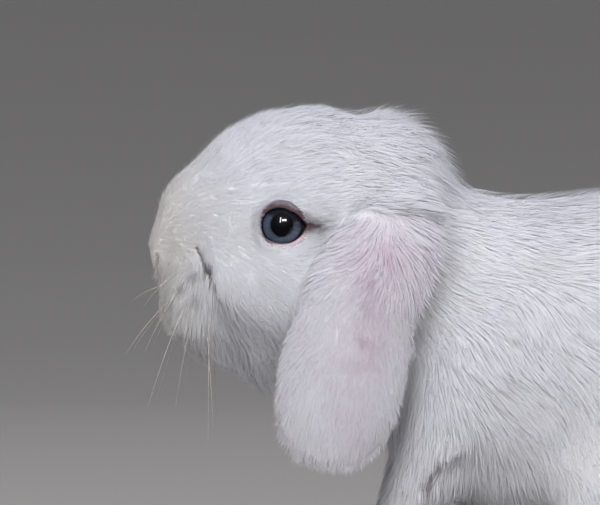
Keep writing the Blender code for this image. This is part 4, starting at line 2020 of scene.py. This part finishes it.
@dataclass
class Whiskers:
    """Fine tapered hairs from the pads, drooping under their own weight."""

    skin: Skin
    marks: Markings
    thick: float = 0.11
    # links of a whisker, how far it droops over each, how much thinner its tip is, its sides,
    # and how deep its root lies
    links: int = 9
    droop: float = 0.05
    thinner: float = 0.86
    sides: int = 5
    root_depth: float = 0.6
    # the direction and the length of the whisker at each dark root
    rooted: tuple[tuple[Triple, float], ...] = (
        ((0.35, -0.15, -0.9), 24.0),
        ((0.4, -0.55, -0.75), 22.0),
        ((0.45, -0.2, -0.85), 34.0),
        ((0.3, -0.7, -0.6), 21.0),
        ((0.4, -0.4, -0.85), 32.0),
    )
    # the others: root (y, z) seen from the side, then the direction and the length
    others: tuple[tuple[float, float, Triple, float], ...] = (
        (-89.5, 84.0, (0.45, 0.0, -0.95), 38.0),
        (-98.0, 95.0, (0.6, -0.5, -0.3), 18.0),
        (-94.5, 97.5, (0.8, -0.2, -0.2), 22.0),
        (-101.0, 91.5, (0.6, -0.7, -0.1), 14.0),
        (-90.5, 80.5, (0.4, 0.1, -0.95), 30.0),
    )

    def strand(self, bm: bmesh.types.BMesh, root: Vector, way: Vector, length: float) -> None:
        """Adds one drooping hair.

        Args:
            bm: The mesh that gets it.
            root: Its root in millimetres.
            way: Its first direction.
            length: Its length in millimetres.
        """
        path, heading = [root], way.normalized()
        for _ in range(self.links):
            heading = (heading + Vector((0, 0, -self.droop))).normalized()
            path.append(path[-1] + heading * (length / self.links))
        sizes = [
            self.thick * (1 - self.thinner * index / self.links) for index in range(self.links + 1)
        ]
        taper(bm, path, sizes, self.sides)

    def build(self) -> bpy.types.Object:
        """Makes the whiskers of both sides.

        Returns:
            The whiskers as one piece.
        """
        bm = bmesh.new()
        places, off_pad = self.skin.arrays["points"], 99.0
        tree = KDTree(len(places))
        for index, (x, y, z) in enumerate(places):
            tree.insert(Vector((0 if abs(x) > PAD_FROM else off_pad, y, z)), index)
        tree.balance()
        rooted = [(*at, *hair) for at, hair in zip(self.marks.whisker_roots, self.rooted)]
        for y, z, way, length in (*rooted, *self.others):
            found = tree.find(Vector((0, y, z)))[1]
            x = abs(places[found][0]) - self.root_depth
            for side in Side:
                root = Vector((x * side.value, y, z))
                self.strand(bm, root, Vector((way[0] * side.value, *way[1:])), length)
        bmesh.ops.recalc_face_normals(bm, faces=bm.faces)
        made = new_piece("whiskers", bm)
        finish = PlainFinish("whisker", (0.42, 0.37, 0.33), (0.62, 0.58, 0.54), 0.45)
        settle(made, finish.build(), "coat")
        return made


@dataclass
class Claws:
    """Small curved claws at the toes of all four feet."""

    # the tips of the toes of the left fore and hind feet
    fore: tuple[Triple, ...] = (
        (12.6, -53.5, 5.0),
        (16.4, -55.4, 5.4),
        (20.4, -54.9, 5.2),
        (23.8, -52.4, 4.6),
    )
    hind: tuple[Triple, ...] = (
        (23.5, 9.6, 5.2),
        (28.6, 7.6, 5.6),
        (34.2, 8.0, 5.4),
        (39.4, 11.0, 4.8),
    )
    length: float = 3.6
    thick: float = 0.75
    # how far back in the toe a claw starts, how far above its tip, and how far it bends down
    inside: float = 1.6
    above: float = 0.5
    bend: float = 1.6
    thinner: float = 0.85
    links: int = 6
    sides: int = 8

    def claw(self, bm: bmesh.types.BMesh, at: Vector) -> None:
        """Adds one claw that starts inside the toe and curves down.

        Args:
            bm: The mesh that gets it.
            at: The toe's tip in millimetres.
        """
        path, sizes = [], []
        for index in range(self.links + 1):
            share = index / self.links
            y = self.inside - self.length * share
            path.append(at + Vector((0, y, self.above * (1 - share) - self.bend * share**2)))
            sizes.append(self.thick * (1 - self.thinner * share**1.4))
        taper(bm, path, sizes, self.sides)

    def build(self) -> bpy.types.Object:
        """Makes the claws of both sides.

        Returns:
            The claws as one piece.
        """
        bm = bmesh.new()
        for x, y, z in (*self.fore, *self.hind):
            for side in Side:
                self.claw(bm, Vector((x * side.value, y, z)))
        bmesh.ops.recalc_face_normals(bm, faces=bm.faces)
        made = new_piece("claws", bm)
        finish = PlainFinish("claw", (0.62, 0.50, 0.44), (0.78, 0.70, 0.62), 0.35, 1600.0)
        settle(made, finish.build(), "coat")
        return made


# ---------------------------------------------------------------- studio


@dataclass
class Studio:
    """The grey floor, the soft lights and the camera."""

    # the floor's flat reach and the height of its rim in metres, and its steps up and round
    floor_reach: float = 1.3
    floor_rise: float = 3.0
    rise_steps: int = 12
    turns: int = 96
    # what the lights look at
    aim: Triple = (0.0, -0.03, 0.08)
    camera_at: Triple = (0.9, -0.0642, 0.1002)
    lens: float = 189.5
    sky: Triple = (0.84, 0.85, 0.92)
    sky_strength: float = 0.42

    def floor(self) -> bpy.types.Object:
        """A round grey floor that curves up far away.

        Returns:
            The floor.
        """
        bm = bmesh.new()
        profile = [bm.verts.new((0.0, 0.0, 0.0)), bm.verts.new((self.floor_reach, 0.0, 0.0))]
        for index in range(1, self.rise_steps + 1):
            turn = math.radians(90 * index / self.rise_steps)
            x = self.floor_reach + math.sin(turn) * self.floor_rise
            profile.append(bm.verts.new((x, 0.0, self.floor_rise * (1 - math.cos(turn)))))
        edges = [bm.edges.new(pair) for pair in zip(profile, profile[1:])]
        bmesh.ops.spin(
            bm,
            geom=[*profile, *edges],
            cent=(0, 0, 0),
            axis=(0, 0, 1),
            angle=2 * math.pi,
            steps=self.turns,
            use_merge=True,
            use_duplicate=False,
        )
        bmesh.ops.remove_doubles(bm, verts=bm.verts, dist=1e-5)
        bmesh.ops.recalc_face_normals(bm, faces=bm.faces)
        bmesh.ops.reverse_faces(bm, faces=[f for f in bm.faces if f.normal.z < -0.1])
        for face in bm.faces:
            face.smooth = True
        made = new_piece("studio_floor", bm)
        finish = PlainFinish("studio_grey", (0.40, 0.385, 0.37), (0.41, 0.395, 0.38), 0.9, 4000.0)
        made.data.materials.append(finish.build())
        made.visible_glossy = False
        return made

    def lamp(
        self, name: str, at: Triple, size: tuple[float, float], watts: float, tint: Triple
    ) -> bpy.types.Object:
        """Adds a soft light that looks at the head.

        Args:
            name: The light's name.
            at: Its place in metres.
            size: Its width and height in metres.
            watts: Its power.
            tint: Its colour.

        Returns:
            The light.
        """
        light = bpy.data.lights.new(name, "AREA")
        light.shape = "RECTANGLE"
        light.size, light.size_y = size
        light.energy = watts
        light.color = tint
        made = bpy.data.objects.new(name, light)
        made.location = at
        aim = Vector(self.aim) - made.location
        made.rotation_euler = aim.to_track_quat("-Z", "Y").to_euler()
        bpy.context.scene.collection.objects.link(made)
        return made

    def lights(self) -> None:
        """A light overhead, a fill from the far side, a window with its glints, a dim sky."""
        for name, at, size, watts, tint in (
            ("sky_light", (0.3, -0.14, 1.5), (1.8, 1.8), 8.0, (0.95, 0.97, 1.0)),
            ("fill", (-1.0, 0.3, 1.5), (1.2, 1.2), 5.0, (0.96, 0.97, 1.0)),
            ("window", (1.15, -0.1, 0.64), (1.4, 1.0), 13.8, (1.0, 0.995, 0.985)),
        ):
            self.lamp(name, at, size, watts, tint).visible_glossy = False
        for name, at, size, watts in (
            ("glint", (1.05, 0.10, 0.76), (0.60, 0.26), 13.0),
            ("glint_strip", (1.02, -0.40, 0.76), (0.10, 0.70), 7.0),
        ):
            self.lamp(name, at, size, watts, (1.0, 1.0, 1.0)).visible_diffuse = False
        world = bpy.data.worlds.new("studio")
        world.use_nodes = True
        background = world.node_tree.nodes["Background"]
        background.inputs["Color"].default_value = opaque(self.sky)
        background.inputs["Strength"].default_value = self.sky_strength
        world.cycles_visibility.glossy = False
        bpy.context.scene.world = world

    def camera(self) -> None:
        """The camera, level with the head and square to the side."""
        data = bpy.data.cameras.new("camera")
        data.lens = self.lens
        data.sensor_width = 36.0
        data.clip_start = 0.05
        data.clip_end = 20.0
        made = bpy.data.objects.new("camera", data)
        made.location = self.camera_at
        made.rotation_euler = (math.radians(90), 0, math.radians(90))
        bpy.context.scene.collection.objects.link(made)
        bpy.context.scene.camera = made

    def build(self) -> None:
        """Sets up the floor, lights and camera."""
        self.floor()
        self.lights()
        self.camera()
        bpy.context.scene.view_settings.view_transform = "Standard"


def main() -> None:
    """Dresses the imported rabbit."""
    logging.basicConfig(level=logging.INFO, format="%(message)s")
    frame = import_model()
    opening = EyeOpening()
    lie, marks = LieTable(), Markings(opening)
    skin = Skin(frame, lie, marks, opening)
    skin.build()
    LOG.info("skin: %d faces", len(skin.obj.data.polygons))
    for side in Side:
        eye = Eye(side, opening).build()
        LOG.info("%s", eye.name)
    coat = Coat(skin, lie, marks, opening).build()
    LOG.info("coat: %d pieces", len(coat))
    LOG.info("%s", Whiskers(skin, marks).build().name)
    LOG.info("%s", Claws().build().name)
    Studio().build()


if __name__ == "__main__":
    main()
